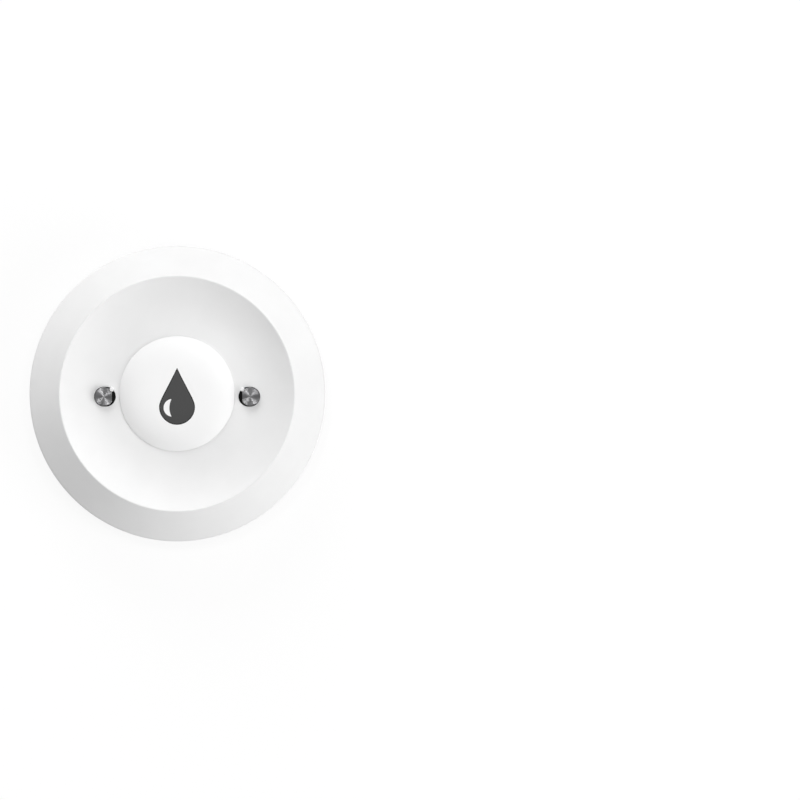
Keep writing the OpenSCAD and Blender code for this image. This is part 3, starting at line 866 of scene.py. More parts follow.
@dataclass
class DripProbes:
    """The two steel probes in the dish, each on a black seal that shows towards the button, partly as painted
    shade.
    """

    land: float = 13.0
    head_sink: float = 0.02
    head_radius: float = 1.9
    flat: float = 0.28
    edge: float = 0.12
    shank_radius: float = 1.2
    seal_radius: float = 2.0
    # Drawn longer towards the button than the solid's 0.25, to where the photograph shows black
    # The seal's strip beyond the solid is painted shade beside the probe head
    seal_and_shade_reach: float = 0.38
    seal_height: float = 0.9
    seal_edge: float = 0.08
    seal_edge_steps: int = 2
    seat_gap: float = 0.02
    nib_radius: float = 0.42
    nib_out: float = 0.2
    nib_height: float = 0.7
    nib_crown: float = 0.15
    nib_root: float = 0.05
    nib_angle: float = 43.0
    nib_gap: float = 0.05
    hole_depth: float = 4.0
    longest_step: float = 0.12
    spread: float = field(init=False)
    offset: float = field(init=False)

    def __post_init__(self) -> None:
        """Take the probes' place from the frame."""
        box = Extent.of("drip_probe_right")
        self.spread = box.high.x - self.head_radius
        self.offset = box.centre.y

    @property
    def pocket_floor(self) -> float:
        """Height of the floor that the seals lie on."""
        return self.land - self.seal_height - self.seat_gap

    def spot(self, side: Side, out: float = 0.0, back: float = 0.0) -> Point:
        """Place at a distance outwards and backwards from one probe's axis."""
        return side.value * (self.spread + out), self.offset + back

    def nib_place(self, side: Side) -> Point:
        """Axis of the moulded nib that keys one probe."""
        return self.spot(side, *polar(self.head_radius + self.nib_out, 180 - self.nib_angle))

    def seal_outline(self, side: Side, gap: float = 0.0) -> list[Point]:
        """Outline of a seal, which is longer towards the button to add painted shade beside the head.

        Args:
            side: The probe's side.
            gap: Room to leave round the seal.

        Returns:
            The outline's points.
        """
        radius = self.seal_radius + gap
        half_turn = SMALL_SEGMENTS // 2
        points = arc(ORIGIN, radius, -90, 90, half_turn)
        points += arc((-self.seal_and_shade_reach, 0.0), radius, 90, 270, half_turn)
        return [self.spot(side, *point) for point in points]

    def pockets(self) -> list[Piece]:
        """Tool bodies that sink a seal's pocket and a shank's hole into the housing.

        Returns:
            One tool for each probe.
        """
        floor, bottom = self.pocket_floor, self.land - self.hole_depth
        radius = self.shank_radius + self.nib_gap
        tools = []
        for side in Side:
            pocket = prism("pocket", self.seal_outline(side, self.seat_gap), floor, self.land + CLEAR)
            hole = round_bars([self.spot(side)], radius, bottom, floor + self.seal_height / 2)
            work(pocket, hole, Cut.ADD)
            tools.append(pocket)
        return tools

    def nibs(self) -> list[Piece]:
        """Tool bodies of the two nibs that stand in the pockets.

        Returns:
            One nib for each probe.
        """
        bottom, top = self.pocket_floor - self.nib_root, self.land + self.nib_height
        radius = self.nib_radius
        outline = section([(0, bottom, 0), (radius, bottom, 0), (radius, top, self.nib_crown), (0, top, 0)])
        return [lathe("nib", outline, SMALL_SEGMENTS // 2, self.nib_place(side)) for side in Side]

    def pin(self, side: Side) -> Piece:
        """Turn one probe, with a flat towards the button and the notch for its nib in its head.

        Args:
            side: The probe's side.

        Returns:
            The probe.
        """
        box = Extent.of(f"drip_probe_{side.word}")
        under, top = self.land - self.head_sink, box.high.z
        corners: list[Corner] = [
            (0, box.low.z, 0), (self.shank_radius, box.low.z, 0.15), (self.shank_radius, under, 0.05),
            (self.head_radius, under, 0.08), (self.head_radius, top, self.edge), (0, top, 0),
        ]
        outline = section(corners, self.longest_step)
        piece = lathe(f"drip_probe_pin_{side.word}", outline, SMALL_SEGMENTS, self.spot(side))
        start, end = under - CLEAR, top + CLEAR
        notch = round_bars([self.nib_place(side)], self.nib_radius + self.nib_gap, start, end)
        work(piece, notch, Cut.REMOVE)
        near, far = self.flat - self.head_radius, -2 * self.head_radius
        block = [self.spot(side, *p) for p in ((near, far), (near, -far), (far, -far), (far, far))]
        work(piece, [prism("block", block, start, end)], Cut.REMOVE)
        return piece

    def seal(self, side: Side) -> Piece:
        """Make one seal, with its hole and the notch for the nib.

        Args:
            side: The probe's side.

        Returns:
            The seal.
        """
        top = self.land - self.head_sink
        bottom = top - self.seal_height
        piece = prism(f"drip_seal_gasket_{side.word}", self.seal_outline(side), bottom, top)
        bevel = piece.modifiers.new("edge", "BEVEL")
        bevel.width = self.seal_edge * MM
        bevel.segments = self.seal_edge_steps
        bake_modifier(piece)
        start, end = bottom - CLEAR, top + CLEAR
        hole = round_bars([self.spot(side)], self.shank_radius + self.seat_gap, start, end)
        notch = round_bars([self.nib_place(side)], self.nib_radius + self.seat_gap, start, end)
        work(piece, hole + notch, Cut.REMOVE)
        return piece

    def build(self) -> None:
        """Make both probes and both seals, and tie them to the housing."""
        for side in Side:
            word = side.word
            steel = TurnedSteel(f"turned_stainless_{word}", centre=self.spot(side))
            place_piece(self.pin(side), Body.HOUSING, steel, [f"drip_probe_{word}"])
            nodes = [f"drip_seal_{word}"]
            # The seal's near-black strip towards the button is partly painted shade beside the probe head
            place_piece(self.seal(side), Body.HOUSING, BLACK_SILICONE_AND_SHADE, nodes)


@dataclass
class Housing:
    """The moulded top: a shallow dish inside a crisp rim, a sloping ring and an upright wall."""

    probes: DripProbes
    land_radius: float = 14.5
    rim_radius: float = 23.75
    rim_width: float = 0.2
    # The dish starts this far inside its rim, below the rim's rounding
    rim_gap: float = 0.45
    dish_steps: int = 40
    cone_height: float = 6.0
    shoulder: float = 1.2
    wall: float = 1.8
    seam_chamfer: float = 0.3
    # Drawn narrower than the solids' 0.1, because the photograph shows no line round the button
    recess_gap: float = 0.015
    recess_depth: float = 0.3
    bore_radius: float = 8.05
    collar_wall: float = 1.4
    collar_height: float = 1.4
    boss_radius: float = 2.6
    boss_bottom: float = 4.8
    boss_root: float = 0.3
    screw_hole: float = 1.12
    screw_depth: float = 6.0
    post_pitch: float = 19.0
    post_angles: tuple[float, ...] = (90.0, 210.0, 330.0)
    post_radius: float = 2.1
    post_bottom: float = 7.6
    post_drop: float = 0.4
    post_hole: float = 0.82
    post_depth: float = 3.6
    probe_boss: float = 2.9
    probe_boss_depth: float = 0.4
    peg_pitch: float = 9.85
    peg_hole: float = 0.7
    peg_depth: float = 1.25
    window_place: Point = (0.0, 13.0)
    window_radius: float = 1.6
    window_skin: float = 0.8
    longest_step: float = 0.35

    def dish_arc(self, grow: float, first_gap: float) -> list[Point]:
        """Curved side of the dish from its rim down to its level floor.

        Args:
            grow: Distance below the dish's surface.
            first_gap: Distance to stay short of the rim.

        Returns:
            Points from the rim inwards.
        """
        land = self.probes.land
        depth = Extent.of("top_housing").high.z - land
        run = self.rim_radius - self.land_radius
        radius = (run**2 + depth**2) / (2 * depth)
        lean = math.degrees(math.asin((run - first_gap) / radius))
        return arc((self.land_radius, land + radius), radius + grow, -90 + lean, -90, self.dish_steps)

    def outline(self) -> list[Point]:
        """Section of the housing, from the seam up the outside and back down the inside.

        Returns:
            The section's points.
        """
        box = Extent.of("top_housing")
        outer, seam, top = box.radius, box.low.z, box.high.z
        land = self.probes.land
        cone = self.rim_radius + self.rim_width
        slope = math.atan2(self.cone_height, outer - cone)
        inner = outer - self.wall
        drop = self.wall / math.cos(slope)
        inner_top = top - (inner - cone) * math.tan(slope) - drop
        under = land - self.wall
        recess = Extent.of("button_cap").radius + self.recess_gap
        floor = land - self.recess_depth
        collar = self.bore_radius + self.collar_wall
        collar_bottom = under - self.collar_height
        below = [p for p in self.dish_arc(self.wall, 0.0) if p[1] < top - drop]
        corners: list[Corner] = [
            (outer - self.seam_chamfer, seam, 0.05), (outer, seam + self.seam_chamfer, 0.15),
            (outer, top - self.cone_height, self.shoulder), (cone, top, 0.12), (self.rim_radius, top, 0.12),
            *((r, z, 0.0) for r, z in self.dish_arc(0.0, self.rim_gap)),
            (recess, land, 0.01), (recess, floor, 0.05),
            (self.bore_radius, floor, 0.2), (self.bore_radius, collar_bottom, 0.15),
            (collar, collar_bottom, 0.3), (collar, under, 0.3),
            *((r, z, 0.0) for r, z in reversed(below)),
            (cone, top - drop, 0.4), (inner, inner_top, 0.6), (inner, seam, 0.05),
        ]
        return section(corners, self.longest_step)

    def bosses(self) -> list[Piece]:
        """Tool bodies of the screw bosses, the board's posts and the pads under the probes.

        Returns:
            The tools.
        """
        land = self.probes.land
        under = land - self.wall
        screws, posts = around(SCREW_PITCH, CORNER_ANGLES), around(self.post_pitch, self.post_angles)
        pads = [self.probes.spot(side) for side in Side]
        return [
            *round_bars(screws, self.boss_radius, self.boss_bottom, land + self.boss_root),
            *round_bars(posts, self.post_radius, self.post_bottom, land - self.post_drop),
            *round_bars(pads, self.probe_boss, under - self.probe_boss_depth, under + self.boss_root),
        ]

    def holes(self) -> list[Piece]:
        """Tool bodies of the screw holes, the pegs' holes and the hollow that thins the light's window.

        Returns:
            The tools.
        """
        land = self.probes.land
        screws, posts = around(SCREW_PITCH, CORNER_ANGLES), around(self.post_pitch, self.post_angles)
        pegs, window = around(self.peg_pitch, PEG_ANGLES), [self.window_place]
        screw_end, post_end = self.boss_bottom + self.screw_depth, self.post_bottom + self.post_depth
        return [
            *round_bars(screws, self.screw_hole, self.boss_bottom - CLEAR, screw_end),
            *round_bars(posts, self.post_hole, self.post_bottom - CLEAR, post_end),
            *round_bars(pegs, self.peg_hole, land - self.peg_depth, land + CLEAR),
            *round_bars(window, self.window_radius, land - self.wall - CLEAR, land - self.window_skin),
        ]

    def build(self) -> None:
        """Turn the shell, add its bosses, cut its holes and tie it to the frame."""
        shell = lathe("housing_shell", self.outline())
        work(shell, self.bosses(), Cut.ADD)
        work(shell, self.holes() + self.probes.pockets(), Cut.REMOVE)
        work(shell, self.probes.nibs(), Cut.ADD)
        place_piece(shell, Body.HOUSING, HOUSING_ABS, ["top_housing"])


@dataclass
class Droplet:
    """The printed droplet: a grey drop with a darker edge and a bare glint at its lower left."""

    tip: float = 5.26
    bowl_radius: float = 3.64
    bowl_height: float = -2.66
    tip_angle: float = 25.5
    tip_reach: float = 5.4
    side_reach: float = 1.3
    edge_width: float = 0.2
    film: float = 0.012
    root: float = 0.03
    glint_radius: float = 1.8
    glint_place: Point = (-0.94, -2.86)
    glint_opening: float = 84.0
    glint_bow: float = 0.42
    glint_steps: int = 12
    steps: int = 28
    longest_edge: float = 0.25
    split_passes: int = 2
    split_cuts: int = 2
    # Keeps the inset of a sharp corner from running far inwards
    least_across: float = 0.4

    def outline(self) -> list[Point]:
        """Edge of the drop, from its tip down the left side, round the bowl and up again.

        Returns:
            A closed outline that starts at the tip.
        """
        lean = math.radians(self.tip_angle)
        start = Vector((0.0, self.tip))
        leave = start + self.tip_reach * Vector((-math.sin(lean), -math.cos(lean)))
        end = Vector((-self.bowl_radius, self.bowl_height))
        arrive = end + Vector((0.0, self.side_reach))
        left = []
        for i in range(self.steps):
            t = i / self.steps
            s = 1 - t
            left.append(tuple(s**3 * start + 3 * s**2 * t * leave + 3 * s * t**2 * arrive + t**3 * end))
        bowl = arc((0.0, self.bowl_height), self.bowl_radius, 180, 360, 2 * self.steps)
        right = [(-x, y) for x, y in reversed(left[1:])]
        return left + bowl + right

    def inset(self, outline: Sequence[Point]) -> list[Point]:
        """Move the drop's edge inwards by the width of its dark line, point by point.

        Args:
            outline: The drop's edge.

        Returns:
            As many points, further in.
        """
        result = []
        count = len(outline)
        for i, point in enumerate(outline):
            here = Vector(point)
            back = (here - Vector(outline[i - 1])).normalized()
            ahead = (Vector(outline[(i + 1) % count]) - here).normalized()
            normal = Vector((-back.y - ahead.y, back.x + ahead.x)).normalized()
            across = max(self.least_across, normal.dot(Vector((-ahead.y, ahead.x))))
            result.append(tuple(here + normal * self.edge_width / across))
        return result

    def glint(self) -> list[Point]:
        """Edge of the bare crescent that stands for a reflection.

        Returns:
            A closed outline.
        """
        start, end = 180 - self.glint_opening, 180 + self.glint_opening
        outer = arc(self.glint_place, self.glint_radius, start, end, 2 * self.glint_steps)
        (x0, y0), (_, y1) = outer[-1], outer[0]
        shares = [i / self.glint_steps for i in range(1, self.glint_steps)]
        return outer + [(x0 - self.glint_bow * 4 * t * (1 - t), y0 + (y1 - y0) * t) for t in shares]

    def film_piece(self, name: str, edges: Sequence[Sequence[Point]], level: float) -> Piece:
        """Fill the room between outlines with a thin film of ink.

        Args:
            name: Name of the piece.
            edges: The outer edge, then any edges of bare places inside it.
            level: Height at which the film is laid before it is lifted onto the dome.

        Returns:
            A closed, finely divided film.
        """
        shape = bmesh.new()
        for edge in edges:
            corners = [shape.verts.new((x * MM, y * MM, (level + self.film) * MM)) for x, y in edge]
            for i, corner in enumerate(corners):
                shape.edges.new((corner, corners[(i + 1) % len(corners)]))
        outlines = shape.edges[:]
        bmesh.ops.triangle_fill(shape, edges=outlines, use_beauty=True, use_dissolve=False, normal=(0, 0, 1))
        for _ in range(self.split_passes):
            inner = [e for e in shape.edges if not e.is_boundary and e.calc_length() > self.longest_edge * MM]
            bmesh.ops.subdivide_edges(shape, edges=inner, cuts=self.split_cuts)
            bmesh.ops.triangulate(shape, faces=[f for f in shape.faces if len(f.verts) > 3])
        skin = bmesh.ops.extrude_face_region(shape, geom=shape.faces[:])
        for item in skin["geom"]:
            if isinstance(item, bmesh.types.BMVert):
                item.co.z -= (self.film + self.root) * MM
        return new_piece(name, shape)


@dataclass
class Button:
    """The domed push button: a thin mushroom head on a guided stem, with the droplet printed on it."""

    droplet: Droplet = field(default_factory=Droplet)
    rise: float = 1.75
    power: float = 5.0
    head_edge: float = 0.25
    lip_round: float = 0.02
    stem_radius: float = 8.0
    stem_wall: float = 2.0
    # Radius of the floor, width and middle height of each groove in the stem
    seal_groove: Triple = (7.01, 1.04, 11.95)
    clip_groove: Triple = (7.5, 0.64, 9.45)
    post_radius: float = 2.3
    post_bottom: float = 9.9
    peg_radius: float = 0.6
    peg_depth: float = 0.9
    rib_width: float = 1.0
    rib_depth: float = 1.2
    rib_root: float = 0.3
    head_root: float = 0.1
    longest_step: float = 0.35
    box: Extent = field(init=False)

    def __post_init__(self) -> None:
        """Take the button's box from the frame."""
        self.box = Extent.of("button_cap")

    @property
    def level(self) -> float:
        """Height of the head's edge, which the dome rises from."""
        return self.box.high.z - self.rise

    def crown(self, piece: Piece, level: float) -> None:
        """Lift what lies above a level of a flat piece onto the dome."""
        sizes = {"Radius": self.box.radius * MM, "Rise": self.rise * MM, "Power": self.power}
        run_tree(piece, crown_tree(), {**sizes, "Level": level * MM})

    def outline(self) -> list[Point]:
        """Section of the button with its head still flat, from the top of the axis round to its foot.

        Returns:
            The section's points.
        """
        stem, bottom = self.stem_radius, self.box.low.z
        under = self.level - self.head_edge
        inner = stem - self.stem_wall
        corners: list[Corner] = [
            (0, self.level, 0), (self.box.radius, self.level, self.lip_round), (self.box.radius, under, 0.08),
            (stem, under, 0.1),
        ]
        for floor, width, height in (self.seal_groove, self.clip_groove):
            low, high = height - width / 2, height + width / 2
            corners += [(stem, high, 0.05), (floor, high, 0), (floor, low, 0), (stem, low, 0.05)]
        corners += [
            (stem, bottom, 0.3), (inner, bottom, 0.3), (inner, under, 0.4), (self.post_radius, under, 0.4),
            (self.post_radius, self.post_bottom, 0.15), (0, self.post_bottom, 0),
        ]
        return section(corners, self.longest_step)

    def cap(self) -> Piece:
        """Turn the button, dome its head and add its ribs and the two pegs that stop it turning.

        Returns:
            The button.
        """
        under = self.level - self.head_edge
        top = under + self.head_root
        piece = lathe("button_dome", self.outline())
        self.crown(piece, under + self.head_edge / 2)
        pitch = (self.stem_radius + self.box.radius) / 2
        pegs = round_bars(around(pitch, PEG_ANGLES), self.peg_radius, under - self.peg_depth, top)
        half, reach = self.rib_width / 2, self.stem_radius - self.stem_wall + self.rib_root
        arm = [(reach, -half), (reach, half), (half, half)]
        turns = ((1, 0), (0, 1), (-1, 0), (0, -1))
        cross = [(x * c - y * s, x * s + y * c) for c, s in turns for x, y in arm]
        work(piece, [*pegs, prism("ribs", cross, under - self.rib_depth, top)], Cut.ADD)
        return piece

    def build(self) -> None:
        """Make the button, print a grey fill and a dark edge on it, and tie all to the button's body."""
        place_piece(self.cap(), Body.BUTTON, BUTTON_ABS, ["button_cap"])
        edge = self.droplet.outline()
        inner = self.droplet.inset(edge)
        films = (("droplet_fill", [inner, self.droplet.glint()], DROPLET_INK),
                 ("droplet_edge", [edge, inner], EDGE_INK))
        for name, edges, ink in films:
            piece = self.droplet.film_piece(name, edges, self.level)
            self.crown(piece, 0.0)
            place_piece(piece, Body.BUTTON, ink)


@dataclass
class Base:
    """What the sensor stands on: the base plate with the hatch's opening and its marks, and the feet."""

    plate_chamfer: float = 1.0
    spigot_radius: float = 28.1
    spigot_inner: float = 26.2
    spigot_height: float = 3.0
    # Radius of the floor, lower and upper height of the groove in the spigot
    seal_groove: Triple = (26.76, 3.98, 5.42)
    plate: float = 2.2
    flange_radius: float = 15.5
    flange_depth: float = 1.25
    hole_radius: float = 11.85
    notch_radius: float = 13.6
    notch_angle: float = 36.0
    stop_radius: float = 13.4
    stop_gap: float = 0.15
    stop_height: float = 0.88
    stop_angle: float = 4.0
    # Angles from a lug's place to its stops, locked and open
    stop_turns: Point = (18.5, -71.5)
    cup_radius: float = 4.4
    cup_top: float = 4.8
    plate_root: float = 0.2
    pocket_radius: float = 3.3
    pocket_depth: float = 1.0
    head_hole: float = 2.1
    seat: float = 3.4
    screw_hole: float = 1.2
    flood_recess: float = 2.02
    flood_seal_top: float = 2.1
    flood_hole: float = 1.25
    mark_pitch: float = 17.4
    mark_radius: float = 0.7
    foot_edge: float = 0.45
    foot_step: float = 0.4
    longest_step: float = 0.6
    box: Extent = field(init=False)

    def __post_init__(self) -> None:
        """Take the base plate's box from the frame."""
        self.box = Extent.of("bottom_cover")

    def outline(self) -> list[Point]:
        """Section of the base plate with its inner rim.

        Returns:
            The section's points.
        """
        outer, low = self.box.radius, self.box.low.z
        top = low + self.plate
        rim, ceiling = top + self.spigot_height, low + self.flange_depth
        floor, groove_low, groove_high = self.seal_groove
        corners: list[Corner] = [
            (self.flange_radius, low, 0.2), (outer - self.plate_chamfer, low, 0.6),
            (outer, low + self.plate_chamfer, 0.6), (outer, top, 0.15), (self.spigot_radius, top, 0.1),
            (self.spigot_radius, groove_low, 0.05), (floor, groove_low, 0), (floor, groove_high, 0),
            (self.spigot_radius, groove_high, 0.05), (self.spigot_radius, rim, 0.3),
            (self.spigot_inner, rim, 0.2), (self.spigot_inner, top, 0.3), (self.hole_radius, top, 0.1),
            (self.hole_radius, ceiling, 0.05), (self.flange_radius, ceiling, 0.1),
        ]
        return section(corners, self.longest_step)

    def cover(self) -> Piece:
        """Turn the base plate, add its screw cups and stops, and cut its pockets, holes and marks.

        Returns:
            The base plate.
        """
        low = self.box.low.z
        top = low + self.plate
        piece = lathe("base_plate", self.outline())
        seats = around(SCREW_PITCH, CORNER_ANGLES)
        work(piece, round_bars(seats, self.cup_radius, top - self.plate_root, self.cup_top), Cut.ADD)
        spread = Extent.of("flood_probe_right").centre.x
        floods = [(side.value * spread, 0.0) for side in Side]
        drills = (
            (seats, self.pocket_radius, low + self.pocket_depth), (seats, self.head_hole, self.seat),
            (seats, self.screw_hole, self.cup_top + CLEAR), (floods, self.flood_recess, self.flood_seal_top),
            (floods, self.flood_hole, top + CLEAR),
        )
        for places, radius, end in drills:
            work(piece, round_bars(places, radius, low - CLEAR, end), Cut.REMOVE)
        inner = self.hole_radius - CLEAR
        notches = [sector(inner, self.notch_radius, a - HATCH_TURN, self.notch_angle) for a in LUG_ANGLES]
        work(piece, [prism("notch", notch, low, top + CLEAR) for notch in notches], Cut.REMOVE)
        work(piece, self.marks(low), Cut.REMOVE)
        work(piece, self.stops(top), Cut.ADD)
        return piece

    def stops(self, top: float) -> list[Piece]:
        """Tool bodies of the two blocks that stop each lug of the hatch, on the plate's inner face.

        Args:
            top: Height of the plate's inner face.

        Returns:
            Two blocks for each lug.
        """
        inner = self.hole_radius + self.stop_gap
        angles = [a + turn for a in LUG_ANGLES for turn in self.stop_turns]
        outlines = [sector(inner, self.stop_radius, angle, self.stop_angle) for angle in angles]
        return [prism("stop", o, top - self.plate_root, top + self.stop_height) for o in outlines]

    def marks(self, low: float) -> list[Piece]:
        """Tool bodies of the marks that the hatch points at: a dot where it locks, a ring where it opens.

        Args:
            low: Height of the plate's outer face.

        Returns:
            The dot and the ring.
        """
        start, end = low - CLEAR, low + MARK_DEPTH
        inner, outer = self.mark_radius / 2, self.mark_radius
        ring = [(inner, start), (outer, start), (outer, end), (inner, end)]
        locked, opened = around(self.mark_pitch, (MARK_ANGLE, MARK_ANGLE - HATCH_TURN))
        return [*round_bars([locked], outer, start, end), lathe("ring", ring, SMALL_SEGMENTS, opened)]

    def feet(self) -> Piece:
        """Turn one soft foot and repeat it round the base.

        Returns:
            All the feet in one piece.
        """
        box = Extent.of("foot_back_right")
        radius, top = box.radius, box.high.z
        corners: list[Corner] = [(0, 0, 0), (radius, 0, self.foot_edge), (radius, top, 0.1), (0, top, 0)]
        piece = lathe("soft_feet", section(corners, self.foot_step), SMALL_SEGMENTS)
        pitch = math.hypot(box.centre.x, box.centre.y) * MM
        count, first = len(CORNER_ANGLES), math.radians(CORNER_ANGLES[0])
        run_tree(piece, ring_tree(), {"Count": count, "Pitch Radius": pitch, "First Angle": first})
        return piece

    def build(self) -> None:
        """Make the base plate and the feet, and tie them to the housing."""
        place_piece(self.cover(), Body.HOUSING, HOUSING_ABS, ["bottom_cover"])
        nodes = [f"foot_{place}" for place in ("back_right", "back_left", "front_left", "front_right")]
        place_piece(self.feet(), Body.HOUSING, FOOT_SILICONE, nodes)


@dataclass
class FloodProbes:
    """The two steel probes that stand just clear of the floor, with their seals."""

    head_radius: float = 1.9
    head_top: float = 1.2
    edge: float = 0.2
    shank_radius: float = 1.2
    seal_radius: float = 2.0
    seal_gap: float = 0.02
    longest_step: float = 0.15

    def pin(self, box: Extent) -> list[Point]:
        """Section of a probe.

        Args:
            box: The probe's box.

        Returns:
            The section's points.
        """
        head, shank, low, high = self.head_radius, self.shank_radius, box.low.z, box.high.z
        corners: list[Corner] = [
            (0, low, 0), (head - self.edge, low, 0.06), (head, low + self.edge, 0.06),
            (head, self.head_top, 0.08), (shank, self.head_top, 0.05), (shank, high, 0.15), (0, high, 0),
        ]
        return section(corners, self.longest_step)

    def seal(self, box: Extent) -> list[Point]:
        """Section of a seal."""
        inner, outer, low, high = self.shank_radius + self.seal_gap, self.seal_radius, box.low.z, box.high.z
        return section([(inner, low, 0.05), (outer, low, 0.12), (outer, high, 0.12), (inner, high, 0.05)])

    def build(self) -> None:
        """Turn both probes and both seals, and tie them to the housing."""
        for side in Side:
            word = side.word
            box, seal_box = Extent.of(f"flood_probe_{word}"), Extent.of(f"flood_seal_{word}")
            centre = (box.centre.x, 0.0)
            pin = lathe(f"flood_probe_pin_{word}", self.pin(box), SMALL_SEGMENTS, centre)
            steel = TurnedSteel(f"turned_stainless_flood_{word}", centre=centre)
            place_piece(pin, Body.HOUSING, steel, [f"flood_probe_{word}"])
            seal = lathe(f"flood_seal_gasket_{word}", self.seal(seal_box), SMALL_SEGMENTS, centre)
            place_piece(seal, Body.HOUSING, BLACK_SILICONE_AND_SHADE, [f"flood_seal_{word}"])


@dataclass
class Hatch:
    """The battery hatch: a flanged cup with bayonet lugs and a slot for a coin."""

    flange: float = 1.2
    # Inner radius, outer radius and depth of the seal's groove
    groove: Triple = (14.08, 14.92, 0.77)
    cup_radius: float = 11.8
    cup_inner: float = 10.4
    floor: float = 1.6
    lug_radius: float = 13.4
    lug_height: float = 0.9
    lug_root: float = 0.6
    # Level tops of lugs and cup would leave slivers
    lug_drop: float = 0.02
    lug_angle: float = 30.0
    slot_width: float = 2.2
    slot_depth: float = 0.9
    coin_radius: float = 11.6
    mark_pitch: float = 12.6
    mark_size: float = 1.0
    longest_step: float = 0.6

    def outline(self, box: Extent) -> list[Point]:
        """Section of the hatch.

        Args:
            box: The hatch's box.

        Returns:
            The section's points.
        """
        low, top, outer = box.low.z, box.high.z, box.radius
        flange, floor = low + self.flange, low + self.floor
        groove_in, groove_out, groove_depth = self.groove
        groove = flange - groove_depth
        corners: list[Corner] = [
            (0, low, 0), (outer, low, 0.3), (outer, flange, 0.1), (groove_out, flange, 0.05),
            (groove_out, groove, 0), (groove_in, groove, 0), (groove_in, flange, 0.05),
            (self.cup_radius, flange, 0.1), (self.cup_radius, top, 0.2), (self.cup_inner, top, 0.2),
            (self.cup_inner, floor, 0.4), (0, floor, 0),
        ]
        return section(corners, self.longest_step)

    def cuts(self, low: float) -> list[Piece]:
        """Tool bodies of the coin that the slot is cut with and of the arrow, in the outer face.

        Args:
            low: Height of the hatch's outer face.

        Returns:
            The coin and the arrow.
        """
        reach = self.slot_width / 2
        middle = (0.0, low + self.slot_depth - self.coin_radius)
        coin = prism("coin", polygon(middle, self.coin_radius, 0, SEGMENTS), -reach, reach, upright=False)
        arrow = polygon(polar(self.mark_pitch, MARK_ANGLE), self.mark_size, MARK_ANGLE, 3)
        return [coin, prism("arrow", arrow, low - CLEAR, low + MARK_DEPTH)]

    def build(self) -> None:
        """Turn the hatch, add its lugs, cut its slot and its arrow, and tie it to its body."""
        box = Extent.of("battery_hatch")
        start, end = box.high.z - self.lug_height, box.high.z - self.lug_drop
        piece = lathe("coin_hatch", self.outline(box))
        inner = self.cup_radius - self.lug_root
        lugs = [sector(inner, self.lug_radius, angle, self.lug_angle) for angle in LUG_ANGLES]
        work(piece, [prism("lug", lug, start, end) for lug in lugs], Cut.ADD)
        work(piece, self.cuts(box.low.z), Cut.REMOVE)
        place_piece(piece, Body.HATCH, HOUSING_ABS, ["battery_hatch"])


@dataclass
class InnerParts:
    """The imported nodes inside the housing, which keep their shapes and get their finishes."""

    finishes: dict[Finish, tuple[str, ...]] = field(default_factory=lambda: {
        SEAL_RUBBER: ("main_seal", "button_seal", "hatch_seal"),
        ZINC_STEEL: ("housing_screws", "board_screws", "button_clip", "drip_probe_nuts", "flood_probe_nuts"),
        GILT_BRONZE: ("drip_contact_left", "drip_contact_right", "flood_contact_left", "flood_contact_right",
                      "positive_clip", "negative_contact"),
        NICKEL_STEEL: ("coin_cell",),
        TINNED_STEEL: ("shield_can",),
        BLACK_NYLON: ("battery_holder", "tact_switch", "sense_chip"),
        BUTTON_ABS: ("switch_plunger",),
        GREEN_MASK: ("main_board",),
        BLUE_MASK: ("radio_module",),
        CHIP_CERAMIC: ("chip_parts",),
        LED_EPOXY: ("status_led",),
    })

    def dress(self) -> None:
        """Give every inner node its finish."""
        for finish, nodes in self.finishes.items():
            for node in nodes:
                dress(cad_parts[node], finish)
                LOG.info("%s: %s", node, finish.name)


# Stage


@dataclass(frozen=True)
class Lamp:
    """A soft square lamp and the share of the light on a level surface that it gives."""

    name: str
    azimuth: float
    elevation: float
    share: float
    width: float

    def hang(self, distance: float) -> None:
        """Hang the lamp at a distance in metres, turned to the origin and out of the camera's sight.

        Args:
            distance: Distance from the origin, in metres.
        """
        data = bpy.data.lights.new(self.name, "AREA")
        data.size = self.width * MM
        lift = math.sin(math.radians(self.elevation))
        data.energy = self.share * math.pi**2 * distance**2 / lift
        bulb = bpy.data.objects.new(self.name, data)
        x, y = polar(math.cos(math.radians(self.elevation)), self.azimuth)
        bulb.location = Vector((x, y, lift)) * distance
        bulb.rotation_euler = bulb.location.to_track_quat("Z", "Y").to_euler()
        bulb.visible_camera = False
        bpy.context.scene.collection.objects.link(bulb)


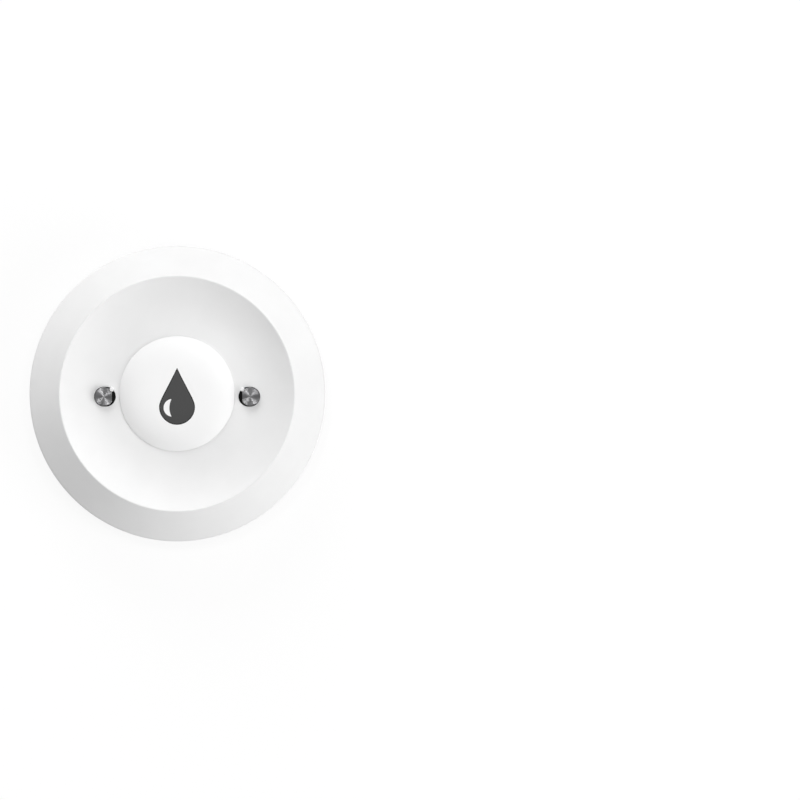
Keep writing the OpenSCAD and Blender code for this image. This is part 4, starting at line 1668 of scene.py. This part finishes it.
@dataclass
class Studio:
    """A pale floor under soft lamps, seen from straight above."""

    # The two small lamps high up give the bright spokes on the steel
    lamps: tuple[Lamp, ...] = (
        Lamp("back_window", 105, 22, 0.222, 800),
        Lamp("right_window", 334, 25, 0.238, 800),
        Lamp("top_right", 45, 78, 0.105, 170),
        Lamp("top_left", 127, 78, 0.095, 60),
    )
    lamp_distance: float = 1200.0
    horizon: float = 0.62
    ceiling: float = 0.27
    floor_width: float = 9000.0
    floor_colour: str = "#8C8C8C"
    table_glow: float = 0.25
    backdrop_glow: float = 0.86
    shadow_share: float = 0.15
    # Width of the photograph, middle of the object in it and radius of its outline, in pixels
    photo_width: float = 800.0
    object_place: Point = (177.3, 393.7)
    outline_radius: float = 147.7
    lens: float = 1000.0
    sensor: float = 36.0
    farthest: float = 50000.0

    def floor_material(self) -> bpy.types.Material:
        """Pale floor, whose backdrop is white in the picture and still takes the object's shadow.

        Returns:
            The floor's material.
        """
        material = bpy.data.materials.new("pale_floor")
        material.use_nodes = True
        tree = material.node_tree
        tree.nodes.remove(tree.nodes["Principled BSDF"])

        def glowing(colour: tuple[float, ...], glow: float) -> Socket:
            """A matt surface with a glow of its own.

            Args:
                colour: Linear colour of the surface.
                glow: Strength of its light.

            Returns:
                The surface.
            """
            matt = add_node(tree, "ShaderNodeBsdfDiffuse", {"Color": colour}).outputs["BSDF"]
            light = add_node(tree, "ShaderNodeEmission", {"Strength": glow}).outputs["Emission"]
            return add_node(tree, "ShaderNodeAddShader", {0: matt, 1: light}).outputs["Shader"]

        def either(share: Socket, first: Socket, second: Socket) -> Socket:
            """One of two surfaces."""
            return add_node(tree, "ShaderNodeMixShader", {0: share, 1: first, 2: second}).outputs["Shader"]

        lit = glowing(linear(self.floor_colour), self.table_glow)
        backdrop = glowing((*[self.shadow_share] * 3, 1.0), self.backdrop_glow)
        rays = add_node(tree, "ShaderNodeLightPath").outputs
        mirrored = calculate(tree, "MAXIMUM", rays["Is Glossy Ray"], rays["Is Transmission Ray"])
        top = either(calculate(tree, "MAXIMUM", rays["Is Camera Ray"], mirrored), lit, backdrop)
        below = add_node(tree, "ShaderNodeBsdfTransparent").outputs["BSDF"]
        facing = add_node(tree, "ShaderNodeNewGeometry").outputs["Backfacing"]
        tree.links.new(either(facing, top, below), tree.nodes["Material Output"].inputs["Surface"])
        return material

    def floor(self) -> None:
        """Lay the floor."""
        reach = self.floor_width / 2 * MM
        shape = bmesh.new()
        corners = ((-1, -1), (1, -1), (1, 1), (-1, 1))
        shape.faces.new([shape.verts.new((x * reach, y * reach, 0.0)) for x, y in corners])
        piece = new_piece("floor", shape)
        piece.data.materials.append(self.floor_material())

    def light(self) -> None:
        """Hang the lamps and set the even light all round, which is weaker from above."""
        for lamp in self.lamps:
            lamp.hang(self.lamp_distance * MM)
        world = bpy.data.worlds.new("studio")
        world.use_nodes = True
        tree = world.node_tree
        towards = add_node(tree, "ShaderNodeTexCoord").outputs["Generated"]
        height = add_node(tree, "ShaderNodeSeparateXYZ", {0: towards}).outputs["Z"]
        inputs = {"Value": height, "To Min": self.horizon, "To Max": self.ceiling}
        level = add_node(tree, "ShaderNodeMapRange", inputs).outputs["Result"]
        sky = tree.nodes["Background"].inputs
        sky["Color"].default_value = (1.0, 1.0, 1.0, 1.0)
        tree.links.new(level, sky["Strength"])
        bpy.context.scene.world = world

    def camera(self) -> None:
        """Stand the camera straight above, so that the object has its place and size in the photograph."""
        box = Extent.of("top_housing")
        scale = box.radius / self.outline_radius
        data = bpy.data.cameras.new("camera")
        data.lens = self.lens
        data.sensor_width = self.sensor
        data.clip_end = self.farthest * MM
        distance = self.photo_width * scale * self.lens / self.sensor
        middle = self.photo_width / 2
        x, y = self.object_place
        eye = bpy.data.objects.new("camera", data)
        eye.location = Vector(((middle - x) * scale, (y - middle) * scale, distance + box.centre.z)) * MM
        bpy.context.scene.collection.objects.link(eye)
        bpy.context.scene.camera = eye

    def build(self) -> None:
        """Set up the floor, the lamps, the camera and a plain view of colours."""
        self.floor()
        self.light()
        self.camera()
        bpy.context.scene.view_settings.view_transform = "Standard"


def main() -> None:
    """Build every sub-assembly, dress the inner parts and set up the studio."""
    logging.basicConfig(level=logging.INFO, format="%(name)s %(message)s")
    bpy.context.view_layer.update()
    Studio().build()
    probes = DripProbes()
    Housing(probes).build()
    probes.build()
    Button().build()
    Base().build()
    FloodProbes().build()
    Hatch().build()
    InnerParts().dress()


if __name__ == "__main__":
    main()
